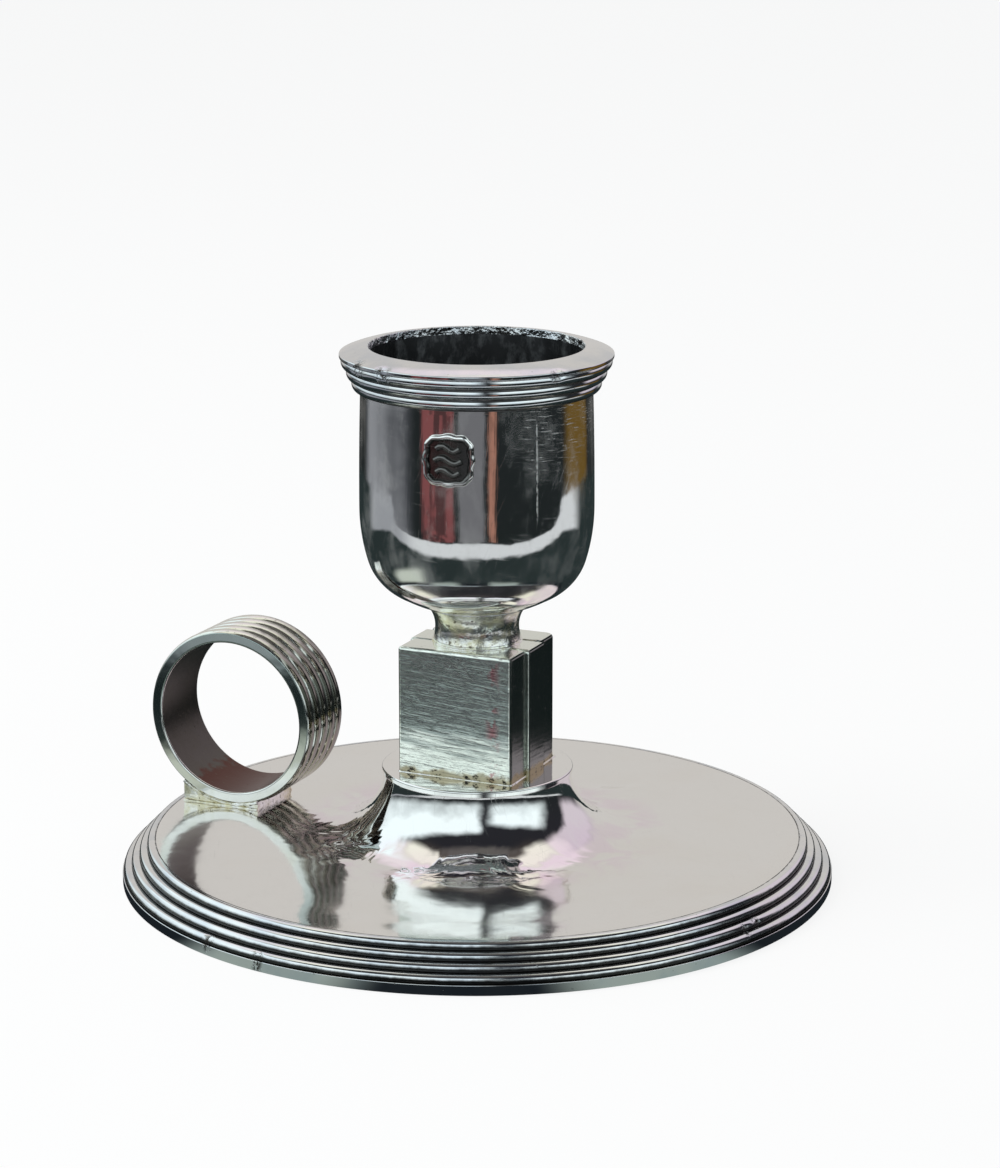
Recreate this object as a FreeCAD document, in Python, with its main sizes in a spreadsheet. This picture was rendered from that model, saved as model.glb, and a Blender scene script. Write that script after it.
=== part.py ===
import FreeCAD, Part

import math
import os

import Sketcher

DOC = FreeCAD.newDocument("Chamberstick")


# Driving dimensions in millimetres. A name that ends in share is a plain ratio.
SIZES = [
    ("base_radius", 38.0, "outer radius of the base"),
    ("base_band_height", 1.1, "plain upright band round the foot of the border"),
    ("border_shoulder", 0.25, "small step from the band in to the lowest reed"),
    ("border_width", 3.6, "reeded border, in from the outer edge to the flat plate"),
    ("plate_height", 4.5, "top of the flat plate above the table"),
    ("plate_thickness", 0.9, "sheet the plate and its trumpet foot are spun from"),
    ("ledge_width", 1.2, "ledge inside the border that carries the plate"),
    ("border_reeds", 4, "number of reeds round the base"),
    ("reed_round_share", 0.58, "radius of a border reed over its chord"),
    ("foot_spread_radius", 17.2, "where the trumpet foot leaves the plate"),
    ("foot_curve_radius", 7.2, "hollow curve of the trumpet foot"),
    ("foot_top_radius", 10.0, "mouth of the trumpet foot, outside"),
    ("foot_top_height", 11.2, "mouth of the trumpet foot above the table"),
    ("cap_radius", 10.2, "disc that closes the trumpet foot"),
    ("cap_thickness", 0.65, "thickness of that disc"),
    ("cap_edge_round", 0.2, "rounding of the disc's edge"),
    ("stem_height", 13.75, "height of the three slabs"),
    ("slab_width", 13.05, "width of the front and back slabs"),
    ("slab_depth", 3.95, "thickness of each slab"),
    ("middle_slab_proud", 0.4, "how far the middle slab stands out at each side"),
    ("front_slab_round", 0.35, "softened edges of the front slab"),
    ("middle_slab_round", 0.2, "softened edges of the middle slab"),
    ("back_slab_round", 1.0, "rounded upright corners of the back slab"),
    ("slab_top_round", 0.25, "softened top edges of the slabs"),
    ("neck_foot_radius", 4.7, "neck collar where it stands on the stem"),
    ("neck_waist_curve", 3.4, "hollow curve of the neck collar"),
    ("neck_top_radius", 5.3, "neck collar where it carries the cup"),
    ("neck_foot_lip", 0.35, "upright lip at the foot of the collar"),
    ("neck_height", 3.9, "height of the neck collar"),
    ("cup_height", 26.9, "candle cup from its seat to its upper edge"),
    ("cup_bore_radius", 11.25, "inside of the candle cup"),
    ("cup_wall", 0.9, "wall of the candle cup at its mouth"),
    ("cup_belly_radius", 12.34, "fullest outer radius of the cup"),
    ("cup_belly_height", 8.2, "height of the fullest part above the seat"),
    ("cup_shoulder_height", 22.6, "height where the wall turns upright for the moulding"),
    ("cup_corner_radius", 7.2, "round corner of the cup's bottom, outside"),
    ("cup_dish_radius", 15.0, "shallow dish of the cup's bottom, outside"),
    ("cup_join_radius", 8.2, "where the dish meets the corner, outside"),
    ("cup_join_height", 1.25, "height of that meeting above the seat"),
    ("cup_floor", 1.0, "thickness of the cup's bottom at its centre"),
    ("rim_flange_radius", 14.3, "outer edge of the cup's flange"),
    ("rim_flange_edge", 0.45, "thickness of the flange at its outer edge"),
    ("rim_flange_rise", 0.75, "flange at the bore above its outer edge"),
    ("rim_flange_curve", 9.0, "soft dome of the flange's top"),
    ("rim_bore_thickness", 0.85, "flange over the edge of the cup wall"),
    ("rim_flange_overhang", 0.3, "flange beyond the highest reed"),
    ("rim_height", 3.8, "moulding below the upper edge of the cup"),
    ("rim_foot_step", 0.2, "lower edge of the moulding beyond the cup wall"),
    ("rim_reeds", 3, "number of reeds under the flange"),
    ("loop_inset", 10.2, "middle of the finger loop in from the base's outer edge"),
    ("loop_outer_radius", 9.83, "crest of the reeds round the loop"),
    ("loop_band_thickness", 1.38, "band the loop is bent from, at its crests"),
    ("loop_width", 8.2, "width of the band the loop is bent from"),
    ("loop_reeds", 5, "number of reeds along the band"),
    ("loop_reed_depth", 0.33, "height of a reed on the band"),
    ("loop_edge_round", 0.22, "softened inner edges of the band"),
    ("loop_saddle_gap", 0.3, "saddle between the loop's lowest point and the plate"),
    ("saddle_reach_inward", 3.2, "saddle from under the loop towards the stem"),
    ("saddle_reach_outward", 3.0, "saddle from under the loop towards the border"),
    ("saddle_inset", 0.15, "saddle and block narrower than the band at each side"),
    ("block_length", 2.9, "wedge block beyond the saddle"),
]

SHEET = DOC.addObject("Spreadsheet::Sheet", "Sizes")
for row, (alias, number, note) in enumerate(SIZES, 1):
    SHEET.set("A%d" % row, alias)
    SHEET.set("B%d" % row, str(number))
    SHEET.set("C%d" % row, note)
    SHEET.setAlias("B%d" % row, alias)
DOC.recompute()


class Size:
    """A length as it is now, and the formula on the sheet that it follows."""

    def __init__(self, value, formula):
        self.value = float(value)
        self.formula = formula

    @staticmethod
    def of(thing):
        return thing if isinstance(thing, Size) else Size(thing, repr(thing))

    def __add__(self, other):
        other = Size.of(other)
        return Size(self.value + other.value, "(%s + %s)" % (self.formula, other.formula))

    def __sub__(self, other):
        other = Size.of(other)
        return Size(self.value - other.value, "(%s - %s)" % (self.formula, other.formula))

    def __mul__(self, other):
        other = Size.of(other)
        return Size(self.value * other.value, "(%s * %s)" % (self.formula, other.formula))

    def __truediv__(self, other):
        other = Size.of(other)
        return Size(self.value / other.value, "(%s / %s)" % (self.formula, other.formula))

    def __neg__(self):
        return Size(-self.value, "(-1 * %s)" % self.formula)

    def root(self):
        return Size(math.sqrt(self.value), "sqrt(%s)" % self.formula)


def size(alias):
    """A driving dimension, read from the sheet."""
    return Size(SHEET.get(alias), "Sizes.%s" % alias)


ZERO = Size(0, "0")


def hypotenuse(a, b):
    return (a * a + b * b).root()


def leg(long_side, short_side):
    """The other short side of a right triangle."""
    return (long_side * long_side - short_side * short_side).root()


class Outline:
    """A closed sketch outline of straight runs and arcs, every corner held by the sheet."""

    def __init__(self, x, y):
        self.corners = [(Size.of(x), Size.of(y))]
        self.bends = []

    def line(self, x, y):
        self.corners.append((Size.of(x), Size.of(y)))
        self.bends.append(None)
        return self

    def arc(self, x, y, radius, turn):
        """An arc under a half circle; turn is left or right of the way it runs."""
        self.corners.append((Size.of(x), Size.of(y)))
        self.bends.append((radius, turn))
        return self

    def close(self, bend=None):
        """The last run back to the first corner, straight unless a bend is given."""
        self.bends.append(bend)
        return self

    def draw(self, sketch):
        count = len(self.corners)
        heads = []
        tails = []
        for i, bend in enumerate(self.bends):
            start = flat_point(self.corners[i])
            end = flat_point(self.corners[(i + 1) % count])
            if bend is None:
                index = sketch.addGeometry(Part.LineSegment(start, end), False)
                heads.append((index, 1))
                tails.append((index, 2))
                continue
            radius, turn = bend
            arc = arc_between(start, end, radius.value, turn)
            index = sketch.addGeometry(arc, False)
            heads.append((index, 1 if turn == "left" else 2))
            tails.append((index, 2 if turn == "left" else 1))
            hold(sketch, "Radius", (index,), radius)
        for i in range(count):
            before = tails[i - 1]
            sketch.addConstraint(Sketcher.Constraint("Coincident", *before, *heads[i]))
            x, y = self.corners[i]
            place(sketch, "DistanceX", -2, heads[i], x)
            place(sketch, "DistanceY", -1, heads[i], y)


def flat_point(corner):
    return FreeCAD.Vector(corner[0].value, corner[1].value, 0)


def arc_between(start, end, radius, turn):
    chord = end - start
    half = chord.Length / 2
    away = math.sqrt(max(radius * radius - half * half, 0))
    side = FreeCAD.Vector(-chord.y, chord.x, 0).normalize()
    if turn == "right":
        side = side.negative()
    centre = start + chord / 2 + side * away
    first, last = (start, end) if turn == "left" else (end, start)
    angle = [math.atan2(p.y - centre.y, p.x - centre.x) for p in (first, last)]
    circle = Part.Circle(centre, FreeCAD.Vector(0, 0, 1), radius)
    return Part.ArcOfCircle(circle, angle[0], angle[1])


def hold(sketch, kind, where, length):
    """One dimension of a sketch, bound to the sheet."""
    index = sketch.addConstraint(Sketcher.Constraint(kind, *where, length.value))
    sketch.setExpression("Constraints[%d]" % index, length.formula)


def place(sketch, kind, axis, corner, length):
    """A corner's distance from the sketch's origin, or its seat on an axis."""
    if length.formula == "0":
        sketch.addConstraint(Sketcher.Constraint("PointOnObject", *corner, axis))
    else:
        hold(sketch, kind, (-1, 1, *corner), length)


def origin_part(body, role):
    for feature in body.Origin.OriginFeatures:
        if feature.Role == role:
            return feature
    raise ValueError(role)


def new_body(label):
    body = DOC.addObject("PartDesign::Body", label)
    body.Label = label
    return body


def sketch_on(body, role, outline):
    sketch = body.newObject("Sketcher::SketchObject", body.Name + "_outline")
    sketch.AttachmentSupport = [(origin_part(body, role), "")]
    sketch.MapMode = "FlatFace"
    outline.draw(sketch)
    return sketch


def turned(label, outline):
    """A piece turned round its own upright axis."""
    body = new_body(label)
    sketch = sketch_on(body, "XZ_Plane", outline)
    turning = body.newObject("PartDesign::Revolution", label + "_turning")
    turning.Profile = sketch
    turning.ReferenceAxis = (sketch, ["V_Axis"])
    turning.Angle = 360
    sketch.Visibility = False
    DOC.recompute()
    return body


def raised(label, role, outline, length, midplane=False):
    """A piece of one outline and one thickness."""
    body = new_body(label)
    sketch = sketch_on(body, role, outline)
    pad = body.newObject("PartDesign::Pad", label + "_pad")
    pad.Profile = sketch
    pad.setExpression("Length", length.formula)
    pad.Midplane = midplane
    sketch.Visibility = False
    DOC.recompute()
    return body


def seat(body, x=ZERO, y=ZERO, z=ZERO):
    """Stands a piece where the sheet says."""
    for axis, length in (("x", x), ("y", y), ("z", z)):
        if length.formula != "0":
            body.setExpression("Placement.Base." + axis, length.formula)


def soften(body, picked, radius):
    """Rounds the edges of the piece that picked chooses."""
    DOC.recompute()
    tip = body.Tip
    names = ["Edge%d" % (i + 1) for i, edge in enumerate(tip.Shape.Edges) if picked(edge)]
    fillet = body.newObject("PartDesign::Fillet", body.Name + "_round")
    fillet.Base = (tip, names)
    fillet.setExpression("Radius", radius.formula)
    DOC.recompute()


def reed_chord(run, drop, count):
    return hypotenuse(run, drop) / count


# Heights of the joints, from the table up.
cap_top = size("foot_top_height") + size("cap_thickness")
stem_top = cap_top + size("stem_height")
cup_seat = stem_top + size("neck_height")
cup_edge = cup_seat + size("cup_height")
loop_height = size("plate_height") + size("loop_saddle_gap") + size("loop_outer_radius")

# Where the pieces meet, out from the stem's axis.
plate_edge = size("base_radius") - size("border_width")
cup_outside = size("cup_bore_radius") + size("cup_wall")
loop_middle = size("loop_inset") - size("base_radius")


def base_plate():
    """Flat plate and hollow trumpet foot, spun in one from sheet."""
    top = size("plate_height")
    under = top - size("plate_thickness")
    spread = size("foot_spread_radius")
    mouth = size("foot_top_radius")
    height = size("foot_top_height")
    curve = size("foot_curve_radius")
    outline = Outline(plate_edge, under)
    outline.line(plate_edge, top)
    outline.line(spread, top)
    outline.arc(mouth, height, curve, "right")
    outline.line(mouth - size("plate_thickness"), height)
    outline.arc(spread, under, curve + size("plate_thickness"), "left")
    return turned("base_plate", outline.close())


def base_border():
    """Reeded moulding round the base; the plate drops on to its inner ledge."""
    top = size("plate_height")
    under = top - size("plate_thickness")
    ledge = plate_edge - size("ledge_width")
    band = size("base_band_height")
    outer = size("base_radius")
    first = outer - size("border_shoulder")
    count = size("border_reeds")
    run = first - plate_edge
    drop = top - band
    round_off = reed_chord(run, drop, count) * size("reed_round_share")
    outline = Outline(ledge, ZERO)
    outline.line(outer, ZERO)
    outline.line(outer, band)
    outline.line(first, band)
    for step in range(1, int(count.value) + 1):
        x = first - run * step / count
        y = band + drop * step / count
        outline.arc(x, y, round_off, "left")
    outline.line(plate_edge, under)
    outline.line(ledge, under)
    return turned("base_border_moulding", outline.close())


def foot_cap():
    """Thin disc soldered over the mouth of the trumpet foot."""
    low = size("foot_top_height")
    radius = size("cap_radius")
    soft = size("cap_edge_round")
    outline = Outline(ZERO, low)
    outline.line(radius, low)
    outline.line(radius, cap_top - soft)
    outline.arc(radius - soft, cap_top, soft, "left")
    outline.line(ZERO, cap_top)
    return turned("foot_cap_disc", outline.close())


def slab_plan(middle, side, soft):
    """Plan of one slab, its upright corners rounded."""
    front = middle - size("slab_depth") / 2
    back = middle + size("slab_depth") / 2
    outline = Outline(-side + soft, front)
    outline.line(side - soft, front)
    outline.arc(side, front + soft, soft, "left")
    outline.line(side, back - soft)
    outline.arc(side - soft, back, soft, "left")
    outline.line(-side + soft, back)
    outline.arc(-side, back - soft, soft, "left")
    outline.line(-side, front + soft)
    return outline.close((soft, "left"))


def stem_slab(label, place_share, half_width, corner_round):
    """One upright slab of the stem, its top edges softened."""
    middle = size("slab_depth") * place_share
    plan = slab_plan(middle, half_width, corner_round)
    body = raised(label, "XY_Plane", plan, size("stem_height"))
    near_top = (size("stem_height") - size("slab_top_round")).value

    def on_top(edge):
        return edge.BoundBox.ZMin > near_top

    soften(body, on_top, size("slab_top_round"))
    seat(body, z=cap_top)


def stem():
    """Three slabs side by side from front to back."""
    half = size("slab_width") / 2
    wide = half + size("middle_slab_proud")
    stem_slab("front_stem_slab", -1, half, size("front_slab_round"))
    stem_slab("middle_stem_slab", 0, wide, size("middle_slab_round"))
    stem_slab("back_stem_slab", 1, half, size("back_slab_round"))


def neck():
    """Short hollow-sided collar between the stem and the cup."""
    foot = size("neck_foot_radius")
    lip = stem_top + size("neck_foot_lip")
    outline = Outline(ZERO, stem_top)
    outline.line(foot, stem_top)
    outline.line(foot, lip)
    outline.arc(size("neck_top_radius"), cup_seat, size("neck_waist_curve"), "right")
    outline.line(ZERO, cup_seat)
    return turned("neck_collar", outline.close())


def cup():
    """Candle cup, spun in one: dished bottom, round corner, slightly full wall."""
    bore = size("cup_bore_radius")
    belly = size("cup_belly_radius")
    corner = size("cup_corner_radius")
    dish = size("cup_dish_radius")
    belly_height = cup_seat + size("cup_belly_height")
    join = size("cup_join_radius")
    join_height = cup_seat + size("cup_join_height")
    floor = cup_seat + size("cup_floor")
    inward = belly - bore
    outline = Outline(ZERO, cup_seat)
    outline.line(size("neck_top_radius"), cup_seat)
    outline.arc(join, join_height, dish, "left")
    outline.arc(belly, belly_height, corner, "left")
    outline.line(cup_outside, cup_seat + size("cup_shoulder_height"))
    outline.line(cup_outside, cup_edge)
    outline.line(bore, cup_edge)
    outline.line(bore, belly_height)
    outline.arc(join - inward, join_height + size("cup_floor"), corner - inward, "right")
    outline.arc(ZERO, floor, dish - size("cup_floor"), "right")
    return turned("candle_cup", outline.close())


def cup_rim():
    """Domed flange over the cup's edge, with reeds stepping in below it."""
    bore = size("cup_bore_radius")
    outer = size("rim_flange_radius")
    low = cup_edge - size("rim_height")
    top = cup_edge + size("rim_bore_thickness")
    edge_top = top - size("rim_flange_rise")
    edge_under = edge_top - size("rim_flange_edge")
    foot = cup_outside + size("rim_foot_step")
    highest = outer - size("rim_flange_overhang")
    count = size("rim_reeds")
    run = highest - foot
    rise = edge_under - low
    round_off = reed_chord(run, rise, count) * size("reed_round_share")
    outline = Outline(cup_outside, low)
    outline.line(foot, low)
    for step in range(1, int(count.value) + 1):
        x = foot + run * step / count
        y = low + rise * step / count
        outline.arc(x, y, round_off, "left")
    outline.line(outer, edge_under)
    outline.line(outer, edge_top)
    outline.arc(bore, top, size("rim_flange_curve"), "left")
    outline.line(bore, cup_edge)
    outline.line(cup_outside, cup_edge)
    return turned("cup_rim_moulding", outline.close())


def finger_loop():
    """Reeded band bent to an upright ring, its axis running from front to back."""
    crest = size("loop_outer_radius")
    inner = crest - size("loop_band_thickness")
    groove = crest - size("loop_reed_depth")
    half = size("loop_width") / 2
    soft = size("loop_edge_round")
    count = size("loop_reeds")
    pitch = size("loop_width") / count
    depth = size("loop_reed_depth")
    reed_radius = (pitch * pitch / 4 + depth * depth) / (depth * 2)
    outline = Outline(inner, -half + soft)
    outline.arc(inner + soft, -half, soft, "left")
    outline.line(groove, -half)
    for step in range(1, int(count.value) + 1):
        outline.arc(groove, pitch * step - half, reed_radius, "left")
    outline.line(inner + soft, half)
    outline.arc(inner, half - soft, soft, "left")
    body = turned("finger_loop", outline.close())
    body.Placement = FreeCAD.Placement(FreeCAD.Vector(), FreeCAD.Rotation(FreeCAD.Vector(1, 0, 0), 90))
    seat(body, x=loop_middle, z=loop_height)


def under_loop(reach):
    """Height of the loop's crest at a distance from under its middle."""
    return loop_height - leg(size("loop_outer_radius"), reach)


def loop_saddle():
    """Strip hollowed to the loop, between it and the plate."""
    plate = size("plate_height")
    inward = size("saddle_reach_inward")
    outward = size("saddle_reach_outward")
    outline = Outline(loop_middle - outward, plate)
    outline.line(loop_middle + inward, plate)
    outline.line(loop_middle + inward, under_loop(inward))
    outline.arc(loop_middle - outward, under_loop(outward), size("loop_outer_radius"), "right")
    width = size("loop_width") - size("saddle_inset") * 2
    return raised("loop_saddle_strip", "XZ_Plane", outline.close(), width, True)


def loop_block():
    """Wedge block that fills the gap under the loop's outer side."""
    plate = size("plate_height")
    near = size("saddle_reach_outward")
    far = near + size("block_length")
    outline = Outline(loop_middle - far, plate)
    outline.line(loop_middle - near, plate)
    outline.line(loop_middle - near, under_loop(near))
    outline.arc(loop_middle - far, under_loop(far), size("loop_outer_radius"), "right")
    width = size("loop_width") - size("saddle_inset") * 2
    return raised("loop_wedge_block", "XZ_Plane", outline.close(), width, True)


def check_and_write():
    """Every object is sound before anything is written."""
    DOC.recompute()
    for thing in DOC.Objects:
        for state in thing.State:
            if state in ("Invalid", "Error"):
                raise RuntimeError("%s is %s" % (thing.Label, state))
    os.makedirs("parts", exist_ok=True)
    bodies = [thing for thing in DOC.Objects if thing.TypeId == "PartDesign::Body"]
    for body in bodies:
        if body.Shape.isNull() or not body.Shape.isValid() or not body.Shape.Solids:
            raise RuntimeError("%s has no sound solid" % body.Label)
    for body in bodies:
        body.Shape.exportStep("parts/%s.step" % body.Label)
        box = body.Shape.BoundBox
        print("%-22s %9.2f mm3  x %.2f..%.2f  y %.2f..%.2f  z %.2f..%.2f" % (
            body.Label, body.Shape.Volume, box.XMin, box.XMax, box.YMin, box.YMax, box.ZMin, box.ZMax))


base_plate()
base_border()
foot_cap()
stem()
neck()
cup()
cup_rim()
finger_loop()
loop_saddle()
loop_block()
check_and_write()
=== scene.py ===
import math

import bmesh
import bpy
from bpy.props import FloatProperty, FloatVectorProperty, IntProperty, PointerProperty
from bpy.types import Operator, Panel, PropertyGroup
from mathutils import Matrix, Vector


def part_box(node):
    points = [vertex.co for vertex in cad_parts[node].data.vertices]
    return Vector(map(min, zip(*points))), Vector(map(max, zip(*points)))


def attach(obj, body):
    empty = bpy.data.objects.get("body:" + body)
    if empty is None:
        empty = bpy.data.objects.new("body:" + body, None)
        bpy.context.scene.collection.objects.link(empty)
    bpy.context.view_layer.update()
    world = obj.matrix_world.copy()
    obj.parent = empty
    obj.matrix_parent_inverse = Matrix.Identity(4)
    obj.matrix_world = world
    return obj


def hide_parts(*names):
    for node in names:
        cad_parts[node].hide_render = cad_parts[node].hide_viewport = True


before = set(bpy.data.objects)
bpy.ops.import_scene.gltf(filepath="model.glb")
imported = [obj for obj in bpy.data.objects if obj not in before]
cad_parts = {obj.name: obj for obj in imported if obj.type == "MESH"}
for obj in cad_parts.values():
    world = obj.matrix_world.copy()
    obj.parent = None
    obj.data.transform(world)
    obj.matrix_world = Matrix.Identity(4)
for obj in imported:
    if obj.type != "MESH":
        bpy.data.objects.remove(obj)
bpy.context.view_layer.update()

bl_info = {
    "name": "Silver chamberstick",
    "version": (1, 0, 0),
    "blender": (4, 5, 0),
    "location": "3D View > Sidebar > Chamberstick",
    "description": "Dresses the packed chamberstick: reeded base, trumpet foot, slab stem, candle cup",
    "category": "Add Mesh",
}

MM = 0.001


def reach(node):
    """Outer radius and top of a turned node, as the frame has it."""
    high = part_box(node)[1]
    return high.x, high.z


BORDER_RADIUS = reach("base_border_moulding")[0]
PLATE_RADIUS = reach("base_plate")[0]
CAP_RADIUS, CAP_TOP = reach("foot_cap_disc")
CUP_SEAT = reach("neck_collar")[1]
CUP_EDGE = reach("candle_cup")[1]
FLANGE_RADIUS = reach("cup_rim_moulding")[0]
SLAB_LOW, SLAB_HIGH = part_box("front_stem_slab")
MIDDLE_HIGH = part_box("middle_stem_slab")[1]
LOOP_LOW, LOOP_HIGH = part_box("finger_loop")
SADDLE_LOW, SADDLE_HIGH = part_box("loop_saddle_strip")
BLOCK_LOW, BLOCK_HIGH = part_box("loop_wedge_block")

NEAR_EDGE = 0.12 * MM  # points this close to an edge keep the face beside it flat
SHARP = 0.02 * MM  # the smallest rounding of a slab's corner
BEAD = 0.12 * MM  # usual thickness of a solder bead


# Sizes and colours that a user would change.

def length(name, default, note):
    return FloatProperty(
        name=name, description=note, default=default, min=0.0, precision=5, unit="LENGTH", subtype="DISTANCE")


def share(name, default, note, low=0.0, high=1.0):
    return FloatProperty(
        name=name, description=note, default=default, min=low, max=high, subtype="FACTOR")


def count(name, default, note, low=1):
    return IntProperty(name=name, description=note, default=default, min=low)


def colour(name, default, note):
    return FloatVectorProperty(
        name=name, description=note, default=default, size=3, min=0.0, max=1.0, subtype="COLOR")


class BaseSizes(PropertyGroup):
    radius: length("Base radius", BORDER_RADIUS, "Outer radius of the base")
    band_height: length("Band height", 1.1 * MM, "Plain upright band round the foot of the border")
    band_step: length("Band step", 0.25 * MM, "Step from the band in to the lowest reed")
    band_round: length("Band rounding", 0.07 * MM, "Upper edge of that band")
    foot_round: length("Border foot rounding", 0.14 * MM, "Edge that the border stands on")
    reeds: count("Border reeds", 4, "Reeds round the base")
    reed_bulge: share("Reed roundness", 0.58, "Radius of a reed over its chord")
    reed_ledge: share("Reed ledge", 0.5, "Part of each step that is a flat ledge behind the reed")
    plate_radius: length("Plate radius", PLATE_RADIUS, "Edge of the flat plate")
    plate_height: length("Plate height", 4.5 * MM, "Top of the flat plate above the table")
    plate_thickness: length("Plate thickness", 0.9 * MM, "Sheet that the plate is spun from")
    ledge_width: length("Ledge width", 1.2 * MM, "Ledge inside the border that carries the plate")
    foot_spread: length("Foot spread", 17.2 * MM, "Radius where the trumpet foot leaves the plate")
    foot_curve: length("Foot curve", 7.2 * MM, "Radius of the trumpet foot's hollow side")
    foot_mouth: length("Foot mouth", 10.0 * MM, "Radius of the trumpet foot's mouth")
    foot_height: length("Foot height", 11.2 * MM, "Mouth of the trumpet foot above the table")
    cap_radius: length("Cap radius", CAP_RADIUS, "Disc that closes the trumpet foot")
    cap_top: length("Cap top", CAP_TOP, "Top of that disc above the table")
    cap_round: length("Cap rounding", 0.2 * MM, "Edge of that disc")


class StemSizes(PropertyGroup):
    foot: length("Stem foot", SLAB_LOW.z, "Foot of the slabs above the table")
    top: length("Stem top", SLAB_HIGH.z, "Top of the slabs above the table")
    slab_depth: length("Slab depth", SLAB_HIGH.y - SLAB_LOW.y, "Thickness of each slab")
    half_width: length("Slab half width", SLAB_HIGH.x, "Half width of the front and back slabs")
    middle_half_width: length("Middle half width", MIDDLE_HIGH.x, "Half width of the middle slab")
    front_round: length("Front rounding", 0.35 * MM, "Upright edges of the front slab")
    middle_round: length("Middle rounding", 0.2 * MM, "Upright edges of the middle slab")
    back_round: length("Back rounding", 1.0 * MM, "Upright edges of the back slab")
    top_round: length("Top rounding", 0.4 * MM, "Top edges of the slabs")
    neck_foot: length("Neck foot", 4.7 * MM, "Radius of the neck collar where it stands on the stem")
    neck_top: length("Neck top", 5.3 * MM, "Radius of the neck collar where it carries the cup")
    neck_lip: length("Neck lip", 0.35 * MM, "Upright lip at the foot of the collar")
    neck_waist: length("Neck waist", 3.4 * MM, "Radius of the collar's hollow side")


class CupSizes(PropertyGroup):
    seat: length("Cup seat", CUP_SEAT, "Underside of the cup above the table")
    edge: length("Cup edge", CUP_EDGE, "Upper edge of the cup wall above the table")
    bore: length("Bore radius", 11.25 * MM, "Inside of the cup")
    wall_radius: length("Wall radius", 12.15 * MM, "Outside of the cup at its mouth")
    shoulder: length("Shoulder height", 22.6 * MM, "Where the wall turns upright, above the seat")
    wall_curve: length("Wall curve", 404 * MM, "Slight fullness of the wall")
    belly_radius: length("Belly radius", 12.34 * MM, "Fullest radius of the cup")
    belly_height: length("Belly height", 40.2 * MM, "Height of the fullest part above the table")
    turn_radius: length("Turn radius", 11.5 * MM, "Radius where the wall turns in to the round corner")
    turn_height: length("Turn height", 34.5 * MM, "Height of that turn above the table")
    turn_curve: length("Turn curve", 19.7 * MM, "Curve from that turn to the fullest part")
    corner: length("Corner radius", 6.02 * MM, "Round corner of the cup's bottom")
    dish: length("Dish radius", 15.0 * MM, "Shallow dish of the cup's bottom")
    join_radius: length("Join radius", 8.2 * MM, "Where the dish meets the corner")
    join_height: length("Join height", 1.25 * MM, "Height of that meeting above the seat")
    floor: length("Floor", 1.0 * MM, "Thickness of the cup's bottom")
    hollow_foot: length("Hollow foot", 37.7 * MM, "Height where the socket's wall meets its round bottom")
    hollow_corner: length("Hollow corner", 6.11 * MM, "Round corner inside the cup")
    rim_foot: length("Rim foot", 52.6 * MM, "Foot of the rim moulding above the table")
    rim_reeds: count("Rim reeds", 3, "Reeds under the flange")
    rim_bulge: share("Rim reed roundness", 0.58, "Radius of a reed over its chord")
    rim_step: length("Rim step", 0.2 * MM, "Foot of the moulding beyond the wall")
    flange_radius: length("Flange radius", FLANGE_RADIUS, "Outer edge of the flange")
    flange_overhang: length("Flange overhang", 0.3 * MM, "Flange beyond the highest reed")
    flange_round: length("Flange rounding", 0.12 * MM, "Edges of the flange")
    flange_dome: length("Flange dome", 9.0 * MM, "Curve of the flange's top")
    flange_edge: length("Flange edge", 0.45 * MM, "Thickness of the flange at its outer edge")
    flange_under: length("Flange underside", 56.05 * MM, "Underside of the flange above the table")
    flange_top: length("Flange top", 57.25 * MM, "Top of the flange at the bore above the table")


class LoopSizes(PropertyGroup):
    middle: length("Loop middle", -(LOOP_LOW.x + LOOP_HIGH.x) / 2, "Middle of the loop from the stem's axis")
    height: length("Loop height", (LOOP_LOW.z + LOOP_HIGH.z) / 2, "Middle of the loop above the table")
    crest: length("Loop crest", (LOOP_HIGH.x - LOOP_LOW.x) / 2, "Outer radius at the reeds' crests")
    reed_depth: length("Reed depth", 0.33 * MM, "Height of a reed on the band")
    inside: length("Loop inside", 8.45 * MM, "Inner radius of the band")
    width: length("Loop width", LOOP_HIGH.y - LOOP_LOW.y, "Width of the band")
    reeds: count("Loop reeds", 5, "Reeds along the band")
    edge_round: length("Edge rounding", 0.22 * MM, "Inner edges of the band")


class SilverLook(PropertyGroup):
    bright: colour("Polished silver", (0.93, 0.915, 0.89), "Colour of the clean metal")
    tarnish: colour("Tarnish", (0.42, 0.33, 0.16), "Yellow-brown film at the joints")
    oxide: colour("Oxide", (0.028, 0.025, 0.022), "Black oxide in grooves and inside the cup")
    haze: share("Handling haze", 0.5, "How much fine wear dulls the polish")


class StudioLook(PropertyGroup):
    floor: colour("Floor", (0.86, 0.86, 0.86), "Colour of the floor")
    window: FloatProperty(
        name="Window light", description="Strength of the mirrored windows", default=1.15, min=0.0)
    wall: FloatProperty(
        name="Back wall", description="Brightness of the pale wall behind the object", default=0.61, min=0.0)
    lens: FloatProperty(
        name="Lens", description="Focal length for a 36 mm long side", default=104.7, min=1.0, unit="CAMERA")


# Node trees written as sums.

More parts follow.
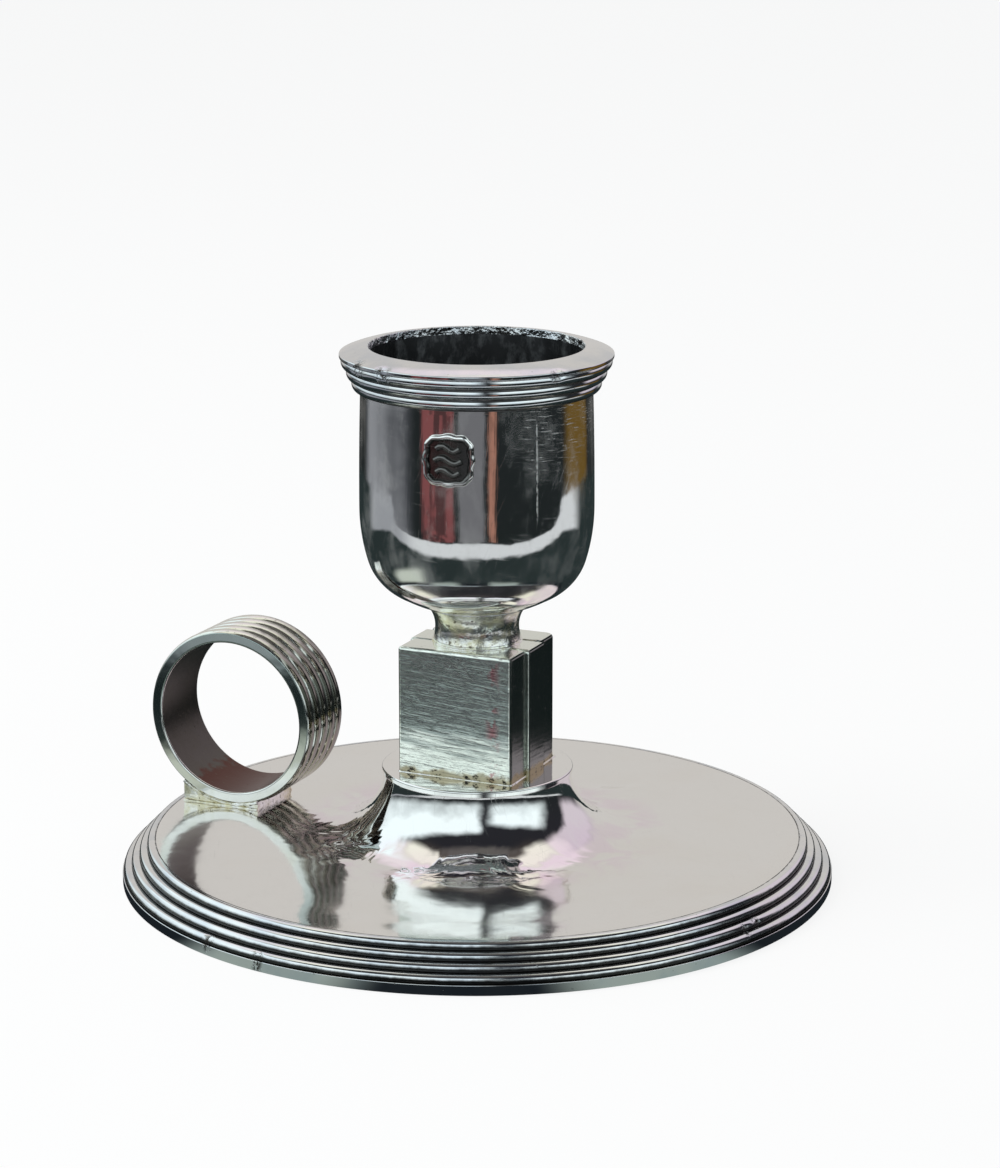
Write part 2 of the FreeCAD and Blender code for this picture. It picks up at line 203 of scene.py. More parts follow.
class Wire:
    """A node's output, with arithmetic that adds the nodes it needs."""

    def __init__(self, desk, socket):
        self.desk = desk
        self.socket = socket

    def maths(self, operation, *others):
        return self.desk.node("ShaderNodeMath", {"operation": operation}, dict(enumerate((self, *others))))

    def __add__(self, other):
        return self.maths("ADD", other)

    def __sub__(self, other):
        return self.maths("SUBTRACT", other)

    def __rsub__(self, other):
        return self.desk.node("ShaderNodeMath", {"operation": "SUBTRACT"}, {0: other, 1: self})

    def __mul__(self, other):
        return self.maths("MULTIPLY", other)

    def __truediv__(self, other):
        return self.maths("DIVIDE", other)

    def __rtruediv__(self, other):
        return self.desk.node("ShaderNodeMath", {"operation": "DIVIDE"}, {0: other, 1: self})

    def __pow__(self, other):
        return self.maths("POWER", other)

    __radd__, __rmul__ = __add__, __mul__


class Desk:
    """Adds nodes to one tree."""

    def __init__(self, tree):
        self.tree = tree
        tree.nodes.clear()

    def node(self, kind, settings=None, values=None, out=0):
        """One node: its settings first, then the values or links of its sockets."""
        made = self.tree.nodes.new(kind)
        for name, value in (settings or {}).items():
            setattr(made, name, value)
        for name, value in (values or {}).items():
            self.give(made.inputs[name], value)
        return Wire(self, made.outputs[out])

    def give(self, socket, value):
        if isinstance(value, Wire):
            self.tree.links.new(value.socket, socket)
        else:
            socket.default_value = value

    def end(self, kind, socket, wire):
        """The output node of the tree, fed by one wire."""
        self.give(self.tree.nodes.new(kind).inputs[socket], wire)

    def outputs(self, wire):
        """All the outputs of the node that a wire comes from, by name."""
        return {socket.name: Wire(self, socket) for socket in wire.socket.node.outputs}

    def ramp(self, value, start, end):
        """0 before start, 1 past end, eased between; start may be the larger."""
        flip = start > end
        low, high = (end, start) if flip else (start, end)
        eased = self.node("ShaderNodeMapRange", {"interpolation_type": "SMOOTHSTEP"}, {
            "Value": value, "From Min": low, "From Max": high})
        return 1 - eased if flip else eased

    def span(self, value, low, high, soft):
        """1 from low to high, with soft ends."""
        return self.ramp(value, low - soft, low + soft) * self.ramp(value, high + soft, high - soft)

    def xyz(self, vector):
        parts = self.outputs(self.node("ShaderNodeSeparateXYZ", None, {0: vector}))
        return parts["X"], parts["Y"], parts["Z"]

    def vector(self, x, y, z):
        return self.node("ShaderNodeCombineXYZ", None, {"X": x, "Y": y, "Z": z})

    def mix(self, share, one, other):
        """A colour between two, by a share; the node's colours are its sockets 6 and 7 and its output 2."""
        return self.node("ShaderNodeMix", {"data_type": "RGBA"}, {0: share, 6: rgba(one), 7: rgba(other)}, 2)

    def coordinate(self, kind):
        """Where the surface is, or which way it faces, by the Texture Coordinate node."""
        return self.outputs(self.node("ShaderNodeTexCoord"))[kind]

    def grain(self, vector, scale=1.0, detail=2.0, rough=0.5, distortion=0.0):
        """Noise around a half."""
        return self.node("ShaderNodeTexNoise", None, {
            "Vector": vector, "Scale": scale, "Detail": detail, "Roughness": rough, "Distortion": distortion})


def rgba(thing):
    return thing if isinstance(thing, Wire) else (*thing, 1.0)


# Outlines in the plane of radius and height.

class Outline:
    """Dense points of an outline, with how oxidised each one is; inside the cup and the loop the same value
    sets painted shade.
    """

    def __init__(self, r, z, dark=0.0):
        self.points = [(r, z)]
        self.darks = [dark]

    def line(self, r, z, dark=0.0, edge=0.04 * MM):
        """A straight run; points close to its ends keep its face flat when shaded smooth."""
        r0, z0 = self.points[-1]
        run = math.hypot(r - r0, z - z0)
        marks = [1.0]
        if run > 4 * edge:
            inner = max(1, round(run / (1.2 * MM)))
            marks = [edge / run] + [i / inner for i in range(1, inner)] + [1 - edge / run, 1.0]
        for mark in marks:
            self.points.append((r0 + (r - r0) * mark, z0 + (z - z0) * mark))
            self.darks.append(dark)
        return self

    def arc(self, r, z, radius, turn, steps=12, dark=0.0):
        """An arc under a half circle, bending left or right of the way it runs."""
        r0, z0 = self.points[-1]
        half = math.hypot(r - r0, z - z0) / 2
        away = math.sqrt(max(radius * radius - half * half, 0.0))
        side = 1 if turn == "left" else -1
        nr, nz = -(z - z0) / (2 * half) * side, (r - r0) / (2 * half) * side
        cr, cz = (r + r0) / 2 + nr * away, (z + z0) / 2 + nz * away
        start = math.atan2(z0 - cz, r0 - cr)
        sweep = 2 * math.asin(min(half / radius, 1.0)) * side
        for i in range(1, steps + 1):
            angle = start + sweep * i / steps
            self.points.append((cr + radius * math.cos(angle), cz + radius * math.sin(angle)))
            self.darks.append(dark)
        return self


def outline_object(name, outline):
    """The outline as an edge chain that a node tree can read."""
    mesh = bpy.data.meshes.new(name)
    verts = [(r, 0.0, z) for r, z in outline.points]
    mesh.from_pydata(verts, [(i, i + 1) for i in range(len(verts) - 1)], [])
    attribute = mesh.attributes.new("oxide", "FLOAT", "POINT")
    attribute.data.foreach_set("value", outline.darks)
    return link(bpy.data.objects.new(name, mesh))


def link(thing):
    bpy.context.scene.collection.objects.link(thing)
    return thing


# Geometry node trees for what is turned, reeded or run along a joint.

def new_tree(name, inputs):
    """A geometry tree with named inputs, and its desk."""
    tree = bpy.data.node_groups.new(name, "GeometryNodeTree")
    tree.interface.new_socket("Geometry", in_out="INPUT", socket_type="NodeSocketGeometry")
    for label, kind in inputs:
        tree.interface.new_socket(label, in_out="INPUT", socket_type="NodeSocket" + kind)
    tree.interface.new_socket("Geometry", in_out="OUTPUT", socket_type="NodeSocketGeometry")
    desk = Desk(tree)
    given = desk.outputs(desk.node("NodeGroupInput"))
    return tree, desk, given


def finish_tree(desk, geometry, material):
    """Real geometry with its material, as the export needs."""
    real = desk.node("GeometryNodeRealizeInstances", None, {0: geometry})
    coated = desk.node("GeometryNodeSetMaterial", None, {"Geometry": real, "Material": material})
    desk.end("NodeGroupOutput", 0, coated)


POLE_GAP = 2e-7  # points of a pole or of the seam of a turned grid lie closer than this


def turned_grid(desk, rows, steps, place, oxide):
    """A grid whose rows are points of an outline and whose columns go round the axis."""
    grid = desk.node("GeometryNodeMeshGrid", None, {
        "Size X": 1.0, "Size Y": 1.0, "Vertices X": rows, "Vertices Y": steps + 1})
    index = desk.node("GeometryNodeInputIndex")
    row = (index / (steps + 1) + 0.0001).maths("FLOOR")
    column = index - row * (steps + 1)
    angle = column * (2 * math.pi) / steps
    radius, height = place(row)
    spot = desk.vector(radius * angle.maths("COSINE"), radius * angle.maths("SINE"), height)
    moved = desk.node("GeometryNodeSetPosition", None, {"Geometry": grid, "Position": spot})
    named = desk.node("GeometryNodeStoreNamedAttribute", {"data_type": "FLOAT", "domain": "POINT"}, {
        "Geometry": moved, "Name": "oxide", "Value": oxide(row)})
    return desk.node("GeometryNodeMergeByDistance", None, {"Geometry": named, "Distance": POLE_GAP})


def turning_tree():
    """Turns the edge chain it is given round the upright axis."""
    tree, desk, given = new_tree("Turned round the axis", (
        ("Points", "Int"), ("Steps", "Int"), ("Material", "Material")))

    def sampled(value, kind, row):
        return desk.node("GeometryNodeSampleIndex", {"data_type": kind, "domain": "POINT"}, {
            "Geometry": given["Geometry"], "Value": value, "Index": row})

    def place(row):
        x, _, z = desk.xyz(sampled(desk.node("GeometryNodeInputPosition"), "FLOAT_VECTOR", row))
        return x, z

    def oxide(row):
        stored = desk.node("GeometryNodeInputNamedAttribute", {"data_type": "FLOAT"}, {"Name": "oxide"})
        return sampled(stored, "FLOAT", row)

    finish_tree(desk, turned_grid(desk, given["Points"], given["Steps"], place, oxide), given["Material"])
    return tree


LEDGE_ROWS = 3  # rows of a reed that lie on its ledge


def reeding_tree():
    """Convex reeds side by side from one radius and height to another, all round the axis."""
    tree, desk, given = new_tree("Reeds round the axis", (
        ("Reeds", "Int"), ("Points in a Reed", "Int"), ("Roundness", "Float"), ("Ledge", "Float"),
        ("Start Radius", "Float"), ("Start Height", "Float"),
        ("End Radius", "Float"), ("End Height", "Float"),
        ("Steps", "Int"), ("Material", "Material")))
    per = given["Points in a Reed"]
    across = (given["End Radius"] - given["Start Radius"]) / given["Reeds"]
    up = (given["End Height"] - given["Start Height"]) / given["Reeds"]
    back = across * given["Ledge"]
    run = across - back
    chord = (run * run + up * up).maths("SQRT")
    bulge = chord * given["Roundness"]
    spread = (chord / 2 / bulge).maths("ARCSINE")
    flat = bulge * spread.maths("COSINE")

    def along(row):
        """Which reed a row is on, how far round its bulge, and how far back on its ledge."""
        reed = ((row + 0.001) / per).maths("FLOOR")
        step = row - reed * per
        part = (step / (per - LEDGE_ROWS)).maths("MINIMUM", 1.0)
        return reed, part, (step - per + LEDGE_ROWS).maths("MAXIMUM", 0.0) / LEDGE_ROWS

    def place(row):
        reed, part, ledge = along(row)
        angle = (part * 2 - 1) * spread
        forward = (bulge * angle.maths("SINE") + chord / 2) / chord
        proud = (bulge * angle.maths("COSINE") - flat) / chord
        radius = given["Start Radius"] + across * reed + run * forward + up * proud + back * ledge
        height = given["Start Height"] + up * (reed + forward) - run * proud
        return radius, height

    def oxide(row):
        _, part, ledge = along(row)
        return (1 - part) ** 1.3 * 0.95 + ledge * 0.6

    rows = given["Reeds"] * per + 1
    finish_tree(desk, turned_grid(desk, rows, given["Steps"], place, oxide), given["Material"])
    return tree


def solder_tree():
    """An uneven bead of solder along the edge chain it is given."""
    tree, desk, given = new_tree("Solder along a joint", (
        ("Thickness", "Float"), ("Unevenness", "Float"), ("Lump Size", "Float"), ("Seed", "Float"),
        ("Sides", "Int"), ("Material", "Material")))
    path = desk.node("GeometryNodeMeshToCurve", None, {"Mesh": given["Geometry"]})
    place = desk.node("GeometryNodeInputPosition")
    lumps = desk.node("ShaderNodeTexNoise", {"noise_dimensions": "4D"}, {
        "Vector": place, "W": given["Seed"], "Scale": 1 / given["Lump Size"], "Detail": 2.0})
    size = given["Thickness"] * (1 + (lumps - 0.5) * 2 * given["Unevenness"])
    ring = desk.node("GeometryNodeCurvePrimitiveCircle", None, {"Resolution": given["Sides"], "Radius": 1.0})
    bead = desk.node("GeometryNodeCurveToMesh", None, {
        "Curve": path, "Profile Curve": ring, "Scale": size, "Fill Caps": True})
    wander = desk.node("ShaderNodeTexNoise", {"noise_dimensions": "4D"}, {
        "Vector": place, "W": given["Seed"] + 7.0, "Scale": 2 / given["Lump Size"], "Detail": 3.0}, 1)
    shift = desk.node("ShaderNodeVectorMath", {"operation": "SUBTRACT"}, {0: wander, 1: (0.5, 0.5, 0.5)})
    step = desk.node("ShaderNodeVectorMath", {"operation": "SCALE"}, {
        0: shift, "Scale": given["Thickness"] * given["Unevenness"]})
    moved = desk.node("GeometryNodeSetPosition", None, {"Geometry": bead, "Offset": step})
    finish_tree(desk, moved, given["Material"])
    return tree


def grown(carrier, tree, inputs):
    """What a tree makes from a carrier object, as plain mesh data."""
    modifier = carrier.modifiers.new("grow", "NODES")
    modifier.node_group = tree
    for item in tree.interface.items_tree:
        if item.in_out == "INPUT" and item.name in inputs:
            modifier[item.identifier] = inputs[item.name]
    view = bpy.context.evaluated_depsgraph_get()
    mesh = bpy.data.meshes.new_from_object(carrier.evaluated_get(view), depsgraph=view)
    carrier.modifiers.remove(modifier)
    old = carrier.data
    bpy.data.objects.remove(carrier)
    bpy.data.meshes.remove(old)
    return mesh


def turned_mesh(name, outline, material, steps=256):
    """An outline turned round the axis."""
    carrier = outline_object(name, outline)
    return grown(carrier, turning_tree(), {
        "Points": len(outline.points), "Steps": steps, "Material": material})


def reeded_mesh(name, material, reeds, roundness, start, end, ledge=0.0, steps=384, points=24):
    """Reeds from one radius and height to another, round the axis."""
    carrier = outline_object(name, Outline(0.0, 0.0).line(MM, 0.0))
    return grown(carrier, reeding_tree(), {
        "Reeds": reeds, "Points in a Reed": points, "Roundness": roundness, "Ledge": ledge,
        "Start Radius": start[0], "Start Height": start[1], "End Radius": end[0], "End Height": end[1],
        "Steps": steps, "Material": material})


def joined(name, meshes, turn=None, sharp=50.0):
    """One closed smooth-shaded piece from meshes that meet at their edges."""
    work = bmesh.new()
    for mesh in meshes:
        work.from_mesh(mesh)
    finish = next(material for material in meshes[0].materials if material)
    for mesh in meshes:
        bpy.data.meshes.remove(mesh)
    bmesh.ops.remove_doubles(work, verts=work.verts, dist=1e-6)
    bmesh.ops.dissolve_degenerate(work, dist=1e-7, edges=work.edges)
    bmesh.ops.recalc_face_normals(work, faces=work.faces)
    if turn is not None:
        bmesh.ops.transform(work, matrix=turn, verts=work.verts)
    limit = math.radians(sharp)
    for face in work.faces:
        face.smooth = True
        face.material_index = 0
    for edge in work.edges:
        if len(edge.link_faces) == 2 and edge.calc_face_angle(0.0) > limit:
            edge.smooth = False
    made = bpy.data.meshes.new(name)
    work.to_mesh(made)
    work.free()
    made.materials.clear()
    made.materials.append(finish)
    return link(bpy.data.objects.new(name, made))


def settle(piece, slot, *nodes):
    """The piece rides on the stick and stands for its CAD nodes; its slot is not used."""
    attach(piece, "root")
    if nodes:
        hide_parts(*nodes)
    return piece


def turned_piece(name, outline, material, slot, node, steps=256, dents=()):
    """A turned piece that stands for one CAD node."""
    piece = joined(name, [turned_mesh(name, outline, material, steps)])
    return settle(dented(piece, dents), slot, node)


def dented(piece, dents):
    """The piece with its knocks: each pushes the surface within a radius of a spot, all in millimetres."""
    for spot, radius, push in dents:
        spot, push = Vector(spot) * MM, Vector(push) * MM
        for vert in piece.data.vertices:
            near = (vert.co - spot).length / (radius * MM)
            if near < 1:
                vert.co += push * (1 - near * near) ** 2
    piece.data.update()
    return piece


def knocks(places):
    """Knocks in a moulding push its edge inwards and a little down."""
    made = []
    for (x, y, z), size in places:
        inward = KNOCK_IN / math.hypot(x, y)
        made.append(((x, y, z), size * KNOCK_SPREAD, (-x * inward, -y * inward, -KNOCK_DOWN)))
    return made


# Dents and shallow waves of the spun plate: place, radius and push in millimetres.
PLATE_DENTS = (
    ((7.0, 21.6, 4.3), 3.3, (0, 0, -0.46)), ((20.0, -11.0, 4.3), 8.5, (0, 0, -0.09)),
    ((-3.5, -24.0, 4.3), 7.5, (0, 0, 0.07)), ((22.0, 6.5, 4.3), 8.5, (0, 0, 0.08)),
    ((-12.0, 20.0, 4.3), 8.5, (0, 0, -0.08)), ((7.0, -25.0, 4.3), 6.5, (0, 0, -0.06)))

# Knocks in the mouldings: place and size in millimetres, and how deep and wide they go.
RIM_KNOCKS = (((-8.5, -12.0, 56.2), 1.7), ((-4.4, -13.6, 56.0), 1.2), ((12.6, -7.4, 56.3), 1.1))
BORDER_KNOCKS = (
    ((-13.7, -35.3, 1.6), 0.9), ((-7.1, -37.2, 1.0), 0.9),
    ((35.5, -10.2, 2.9), 0.8), ((35.2, -12.2, 2.7), 0.8))
KNOCK_IN = 0.16
KNOCK_DOWN = 0.07
KNOCK_SPREAD = 1.15


# The punched mark: a plain lobed frame round a sunk field, on the cup.

MARK_TURN = math.radians(-79.3)
MARK_HEIGHT = 47.5
MARK_WIDE = 2.35
MARK_HIGH = 2.35
MARK_WAVES = ((1.2, 1.2), (0.0, 1.4), (-1.2, 1.2))  # height and half length of each bar
WAVE_BEND = 0.28
FRAME_THICK, FRAME_LIFT = 0.36 * MM, 0.02 * MM
BAR_THICK, BAR_LIFT = 0.34 * MM, 0.06 * MM
CUP_ROUND = 12.2  # millimetres round the cup's wall for a radian


def mark_outline(steps=72):
    """Outline of the mark in millimetres, across and up: a soft square with hollowed corners."""
    spots = []
    for i in range(steps):
        a = 2 * math.pi * i / steps
        c, s = math.cos(a), math.sin(a)
        square = (abs(c) ** 5 + abs(s) ** 5) ** -0.2
        lobe = 1 - 0.1 * max(0.0, -math.cos(4 * a)) ** 6 + 0.035 * math.cos(8 * a)
        spots.append((MARK_WIDE * square * lobe * c, MARK_HIGH * square * lobe * s))
    return spots


def mark_wave(up, half_length, steps=24):
    """One waved bar of the mark, across and up."""
    turns = [2 * i / steps - 1 for i in range(steps + 1)]
    return [(half_length * turn, up + WAVE_BEND * math.sin(math.pi * (turn + 1))) for turn in turns]


def on_cup(across, up, c, lift):
    """A spot of the mark on the cup's wall."""
    z = (MARK_HEIGHT + up) * MM
    part = (z - c.belly_height) / (c.seat + c.shoulder - c.belly_height)
    radius = c.belly_radius + (c.wall_radius - c.belly_radius) * part * part + lift
    a = MARK_TURN + across * MM / radius
    return Vector((radius * math.cos(a), radius * math.sin(a), z))


def field_mask(desk, around, z):
    """1 inside the mark's frame."""
    across = ((around - MARK_TURN * CUP_ROUND) / MARK_WIDE).maths("ABSOLUTE") ** 5.0
    up = ((z - MARK_HEIGHT) / MARK_HIGH).maths("ABSOLUTE") ** 5.0
    return desk.ramp(across + up, 0.95, 0.7)


# Finishes.

def new_material(name):
    """A material and the desk of its tree."""
    material = bpy.data.materials.new(name)
    material.use_nodes = True
    return material, Desk(material.node_tree)


def new_finish(name):
    """A material, its desk, and the place on the piece in millimetres."""
    material, desk = new_material(name)
    place = desk.coordinate("Object")
    spot = desk.node("ShaderNodeVectorMath", {"operation": "SCALE"}, {0: place, "Scale": 1 / MM})
    return material, desk, spot


def metal(desk, colour, rough, height, depth, metallic=1.0):
    """The shader of a silver surface, with its relief in millimetres."""
    bump = desk.node("ShaderNodeBump", None, {"Strength": 1.0, "Distance": depth * MM, "Height": height})
    shader = desk.node("ShaderNodeBsdfPrincipled", None, {
        "Base Color": rgba(colour), "Roughness": rough, "Metallic": metallic, "Normal": bump})
    desk.end("ShaderNodeOutputMaterial", "Surface", shader)


def oxide_and_shade_here(desk):
    """How oxidised the outline is here; inside the cup and the loop the same value sets painted shade."""
    return desk.outputs(desk.node("ShaderNodeAttribute", {"attribute_name": "oxide"}))["Fac"]


def stretched(desk, x, y, turn, along, across, detail=2.0):
    """Noise drawn out into lines that run at a turn from x towards y."""
    c, s = math.cos(math.radians(turn)), math.sin(math.radians(turn))
    lines = desk.vector((x * c + y * s) * (1 / along), (y * c - x * s) * (1 / across), 0.0)
    return desk.grain(lines, 1.0, detail)


def hairlines(desk, x, y, turns, along=6.0, across=0.09, low=0.66, high=0.74):
    """Thin scratches at several turns."""
    first, *rest = [desk.ramp(stretched(desk, x, y, turn, along, across, 1.0), low, high) for turn in turns]
    return sum(rest, first)


def close_to(desk, spot, place, size, flat=1.0):
    """1 near a place and 0 beyond the size; flat below 1 draws the spot out upwards."""
    x, y, z = desk.xyz(spot)
    dx, dy, dz = x - place[0], y - place[1], (z - place[2]) * flat
    return desk.ramp((dx * dx + dy * dy + dz * dz).maths("SQRT"), size, 0.0)


def base_finish(look):
    """Spun base: bright trumpet, satin wavy plate, with fine scratches and a faint pink film."""
    material, desk, spot = new_finish("base_silver_polish")
    x, y, z = desk.xyz(spot)
    out = (x * x + y * y).maths("SQRT")
    plate = desk.ramp(out, 15.5, 19.0)
    foot = desk.span(out, 12.5, 19.5, 2.5)
    waves = desk.grain(spot, 0.07, 2.0)
    ripple = desk.grain(spot, 0.24, 2.0)
    spun = desk.grain(desk.vector(x, y, z * 0.4), 0.24, 2.0, 0.5, 0.6)
    cove = desk.ramp(out, 29.5, 35.0)
    scratches = hairlines(desk, x, y, (12, 64, 118, 160), 5.0, 0.06, 0.71, 0.77)
    haze = desk.ramp(desk.grain(spot, 0.35, 5.0, 0.6), 0.42, 0.72)
    film = desk.ramp(desk.grain(spot, 0.09, 3.0), 0.45, 0.75)
    colour = desk.mix(film * 0.25, look.bright, (0.88, 0.83, 0.76))
    colour = desk.mix(foot * desk.ramp(spun, 0.4, 0.6) * 0.5, colour, (0.9, 0.74, 0.86))
    colour = desk.mix(scratches * 0.35, colour, (0.6, 0.58, 0.55))
    rough = 0.035 + plate * 0.055 + haze * (0.06 * look.haze) + scratches * 0.15
    height = waves * 80 + ripple * 20 + foot * spun * 130 + cove * 90 - scratches * 0.25
    metal(desk, colour, rough, height, 0.0016)
    return material


def moulding_finish(look):
    """Reeds: bright on their crests, black in their grooves, ragged inside the cup's mouth."""
    material, desk, spot = new_finish("moulding_silver_polish")
    rag = desk.grain(spot, 0.9, 4.0, 0.6)
    fleck = desk.grain(spot, 4.0, 3.0, 0.6)
    oxide = oxide_and_shade_here(desk)
    worn = desk.ramp(oxide, -0.2, -0.7)
    dark = desk.ramp(oxide + (rag - 0.5) * 0.35, 0.3, 0.62)
    nicks = desk.ramp(desk.grain(spot, 2.2, 3.0), 0.7, 0.76)
    torn = desk.ramp(desk.grain(spot, 0.9, 4.0, 0.7), 0.54, 0.6)
    crack = desk.ramp(desk.grain(spot, 1.6, 4.0, 0.7), 0.5, 0.54)
    first, *rest = [close_to(desk, spot, place, size, 0.5) for place, size in RIM_KNOCKS + BORDER_KNOCKS]
    hurt = sum(rest, first) * crack
    film = desk.ramp(desk.grain(spot, 0.16, 4.0, 0.6), 0.36, 0.66)
    silver = desk.mix(film * 0.75 + 0.15, look.bright, (0.72, 0.75, 0.8))
    colour = desk.mix(dark * 0.95, silver, look.oxide)
    colour = desk.mix(nicks * 0.55 + hurt * 1.6, colour, (0.1, 0.09, 0.08))
    colour = desk.mix(worn * torn, colour, look.oxide)
    rough = 0.06 + dark * 0.3 + nicks * 0.2 + fleck * 0.05 + worn * 0.25
    torn_edge = worn * desk.grain(spot, 0.8, 3.0, 0.6) * 240
    height = desk.grain(spot, 0.25, 2.0) * 12 + fleck * 0.4 - nicks * 1.5 - hurt * 30 + torn_edge
    metal(desk, colour, rough, height, 0.0035)
    return material


def facing(desk, axis, low=0.5, high=0.85):
    """1 where a surface faces along an axis, either way."""
    return desk.ramp(desk.xyz(desk.coordinate("Normal"))[axis].maths("ABSOLUTE"), low, high)


def stem_finish(look):
    """Filed slabs: near-level file marks, pits, painted shade on the sides and on the flat faces higher up,
    and a burnt yellow film at the foot.
    """
    material, desk, spot = new_finish("stem_silver_filed")
    x, y, z = desk.xyz(spot)
    side = x + y * 0.7
    marks = stretched(desk, side, z, -4, 6.0, 0.45, 5.0)
    fine = stretched(desk, side, z, -2, 3.0, 0.12, 3.0)
    swell = desk.grain(desk.vector(side, 0.0, z * 1.6), 0.32, 3.0)
    gouges = desk.ramp(stretched(desk, side, z, -9, 1.6, 0.3, 2.0), 0.66, 0.74)
    pits = desk.ramp(desk.grain(spot, 1.3, 2.0), 0.71, 0.78)
    cap = CAP_TOP / MM
    foot = desk.ramp(z + (desk.grain(spot, 0.6, 3.0) - 0.5) * 1.8, cap + 0.95, cap + 0.4)
    burnt = foot * desk.ramp(desk.grain(desk.vector(side * 0.7, 3.0, z * 0.9), 1.3, 4.0, 0.8), 0.52, 0.62)
    painted_shade_above = desk.ramp(z + (marks - 0.5) * 9, cap + 1.6, cap + 5.5)
    blush = desk.ramp(desk.grain(spot, 0.55, 4.0, 0.65), 0.5, 0.58) * desk.span(x, 3.9, 4.9, 0.6)
    blush = blush * facing(desk, 1)
    flank = facing(desk, 0)
    flat = facing(desk, 1, 0.975, 0.998)
    # Painted shade: the flat front and back faces turn dark grey-green from just above the cap upwards, while
    # their rounded edges stay bright.
    colour = desk.mix(painted_shade_above * flat * 0.76, (0.92, 0.95, 0.87), (0.2, 0.245, 0.24))
    colour = desk.mix(blush * 0.75, colour, (0.42, 0.15, 0.17))
    # Painted shade: faces that point sideways are darkened almost to black.
    colour = desk.mix(flank * 0.8, colour, (0.07, 0.075, 0.07))
    colour = desk.mix(foot * 0.75, colour, look.tarnish)
    colour = desk.mix(burnt, colour, look.oxide)
    colour = desk.mix(pits * 0.6 + gouges * 0.3, colour, (0.12, 0.13, 0.12))
    rough = 0.13 + marks * 0.12 + foot * 0.15 + pits * 0.1
    lean = desk.ramp(z, cap, cap + 6.0) * (1 - flank) * 130
    filed = marks * 26.0 + fine * 2.4 + swell * 34 - pits * 14 - gouges * 12
    height = filed * (1 - flank * 0.85) - burnt * 2 + lean
    metal(desk, colour, rough, height, 0.0045)
    return material


def cup_finish(look):
    """Cup: polished and hazy outside with a dark field for the mark; painted shade inside, grey and streaked.
    """
    material, desk, spot = new_finish("cup_silver_polish")
    x, y, z = desk.xyz(spot)
    around = y.maths("ARCTAN2", x) * CUP_ROUND
    inside = oxide_and_shade_here(desk)
    waves = desk.grain(spot, 0.11, 2.0)
    patches = desk.grain(desk.vector(around, 0.0, z * 0.6), 0.22, 5.0, 0.65)
    haze = desk.ramp(patches, 0.46, 0.66)
    brushed = stretched(desk, around, z, 88, 5.0, 0.16, 4.0)
    scratches = hairlines(desk, around, z, (84, 66, -8), 4.5, 0.05, 0.7, 0.78)
    high = desk.ramp(z + (patches - 0.5) * 8, 44.5, 48.5) * desk.ramp(around, -10.5, -8.5)
    rubbed = desk.ramp(stretched(desk, around, z, -3, 1.7, 0.17, 4.0), 0.52, 0.7) * high * 0.8
    drift = (desk.grain(spot, 1.4, 3.0) - 0.5) * 0.7
    scar = desk.ramp((around + 7.6 + drift * 0.3).maths("ABSOLUTE"), 0.14, 0.04)
    scar = scar * desk.span(z, 41.0, 51.0, 0.5)
    rubbed = rubbed + scar * desk.ramp(drift, -0.12, 0.05)
    streaks = desk.grain(desk.vector(around * 0.5, 0.0, z * 0.3), 1.2, 5.0, 0.65)
    mark = field_mask(desk, around, z) * (1 - inside)
    rubbed = rubbed * (1 - inside)
    colour = desk.mix(scratches * 0.12 + haze * 0.1, look.bright, (0.6, 0.58, 0.56))
    colour = desk.mix(mark * 0.85, colour, look.oxide)
    # Painted shade inside the cup: grey with streaks in place of bright silver.
    shaded_inside_streaks = desk.mix(desk.ramp(streaks, 0.45, 0.75), (0.12, 0.12, 0.125), (0.55, 0.55, 0.56))
    colour = desk.mix(inside, colour, shaded_inside_streaks)
    worn = haze * (0.13 * look.haze) + scratches * 0.1 + rubbed * 0.3
    rough = 0.045 + worn + inside * 0.3 + mark * 0.15
    wobble = desk.grain(spot, 0.26, 2.0)
    height = waves * 34 + wobble * 12 + patches * 2 + brushed * 1.4 - scratches * 0.3 + inside * streaks * 6
    dull = (haze * 0.11 + scratches * 0.14) * (1 - inside) + rubbed * 0.22
    metal(desk, colour, rough, height, 0.002, 1 - dull)
    return material


def joint_finish(look):
    """Cast collar and solder: softly uneven and yellowed."""
    material, desk, spot = new_finish("stem_silver_joint")
    swell = desk.grain(spot, 0.7, 3.0, 0.6)
    grit = desk.grain(spot, 3.5, 3.0, 0.6)
    film = desk.ramp(desk.grain(spot, 0.55, 4.0, 0.6), 0.36, 0.7)
    crust = desk.ramp(desk.grain(spot, 1.7, 3.0, 0.6), 0.6, 0.7)
    colour = desk.mix(film * 0.8, look.bright, (0.66, 0.6, 0.36))
    colour = desk.mix(crust * 0.8, colour, (0.12, 0.1, 0.06))
    rough = 0.13 + film * 0.14 + crust * 0.2
    metal(desk, colour, rough, swell * 14 + grit * 2.5, 0.006)
    return material


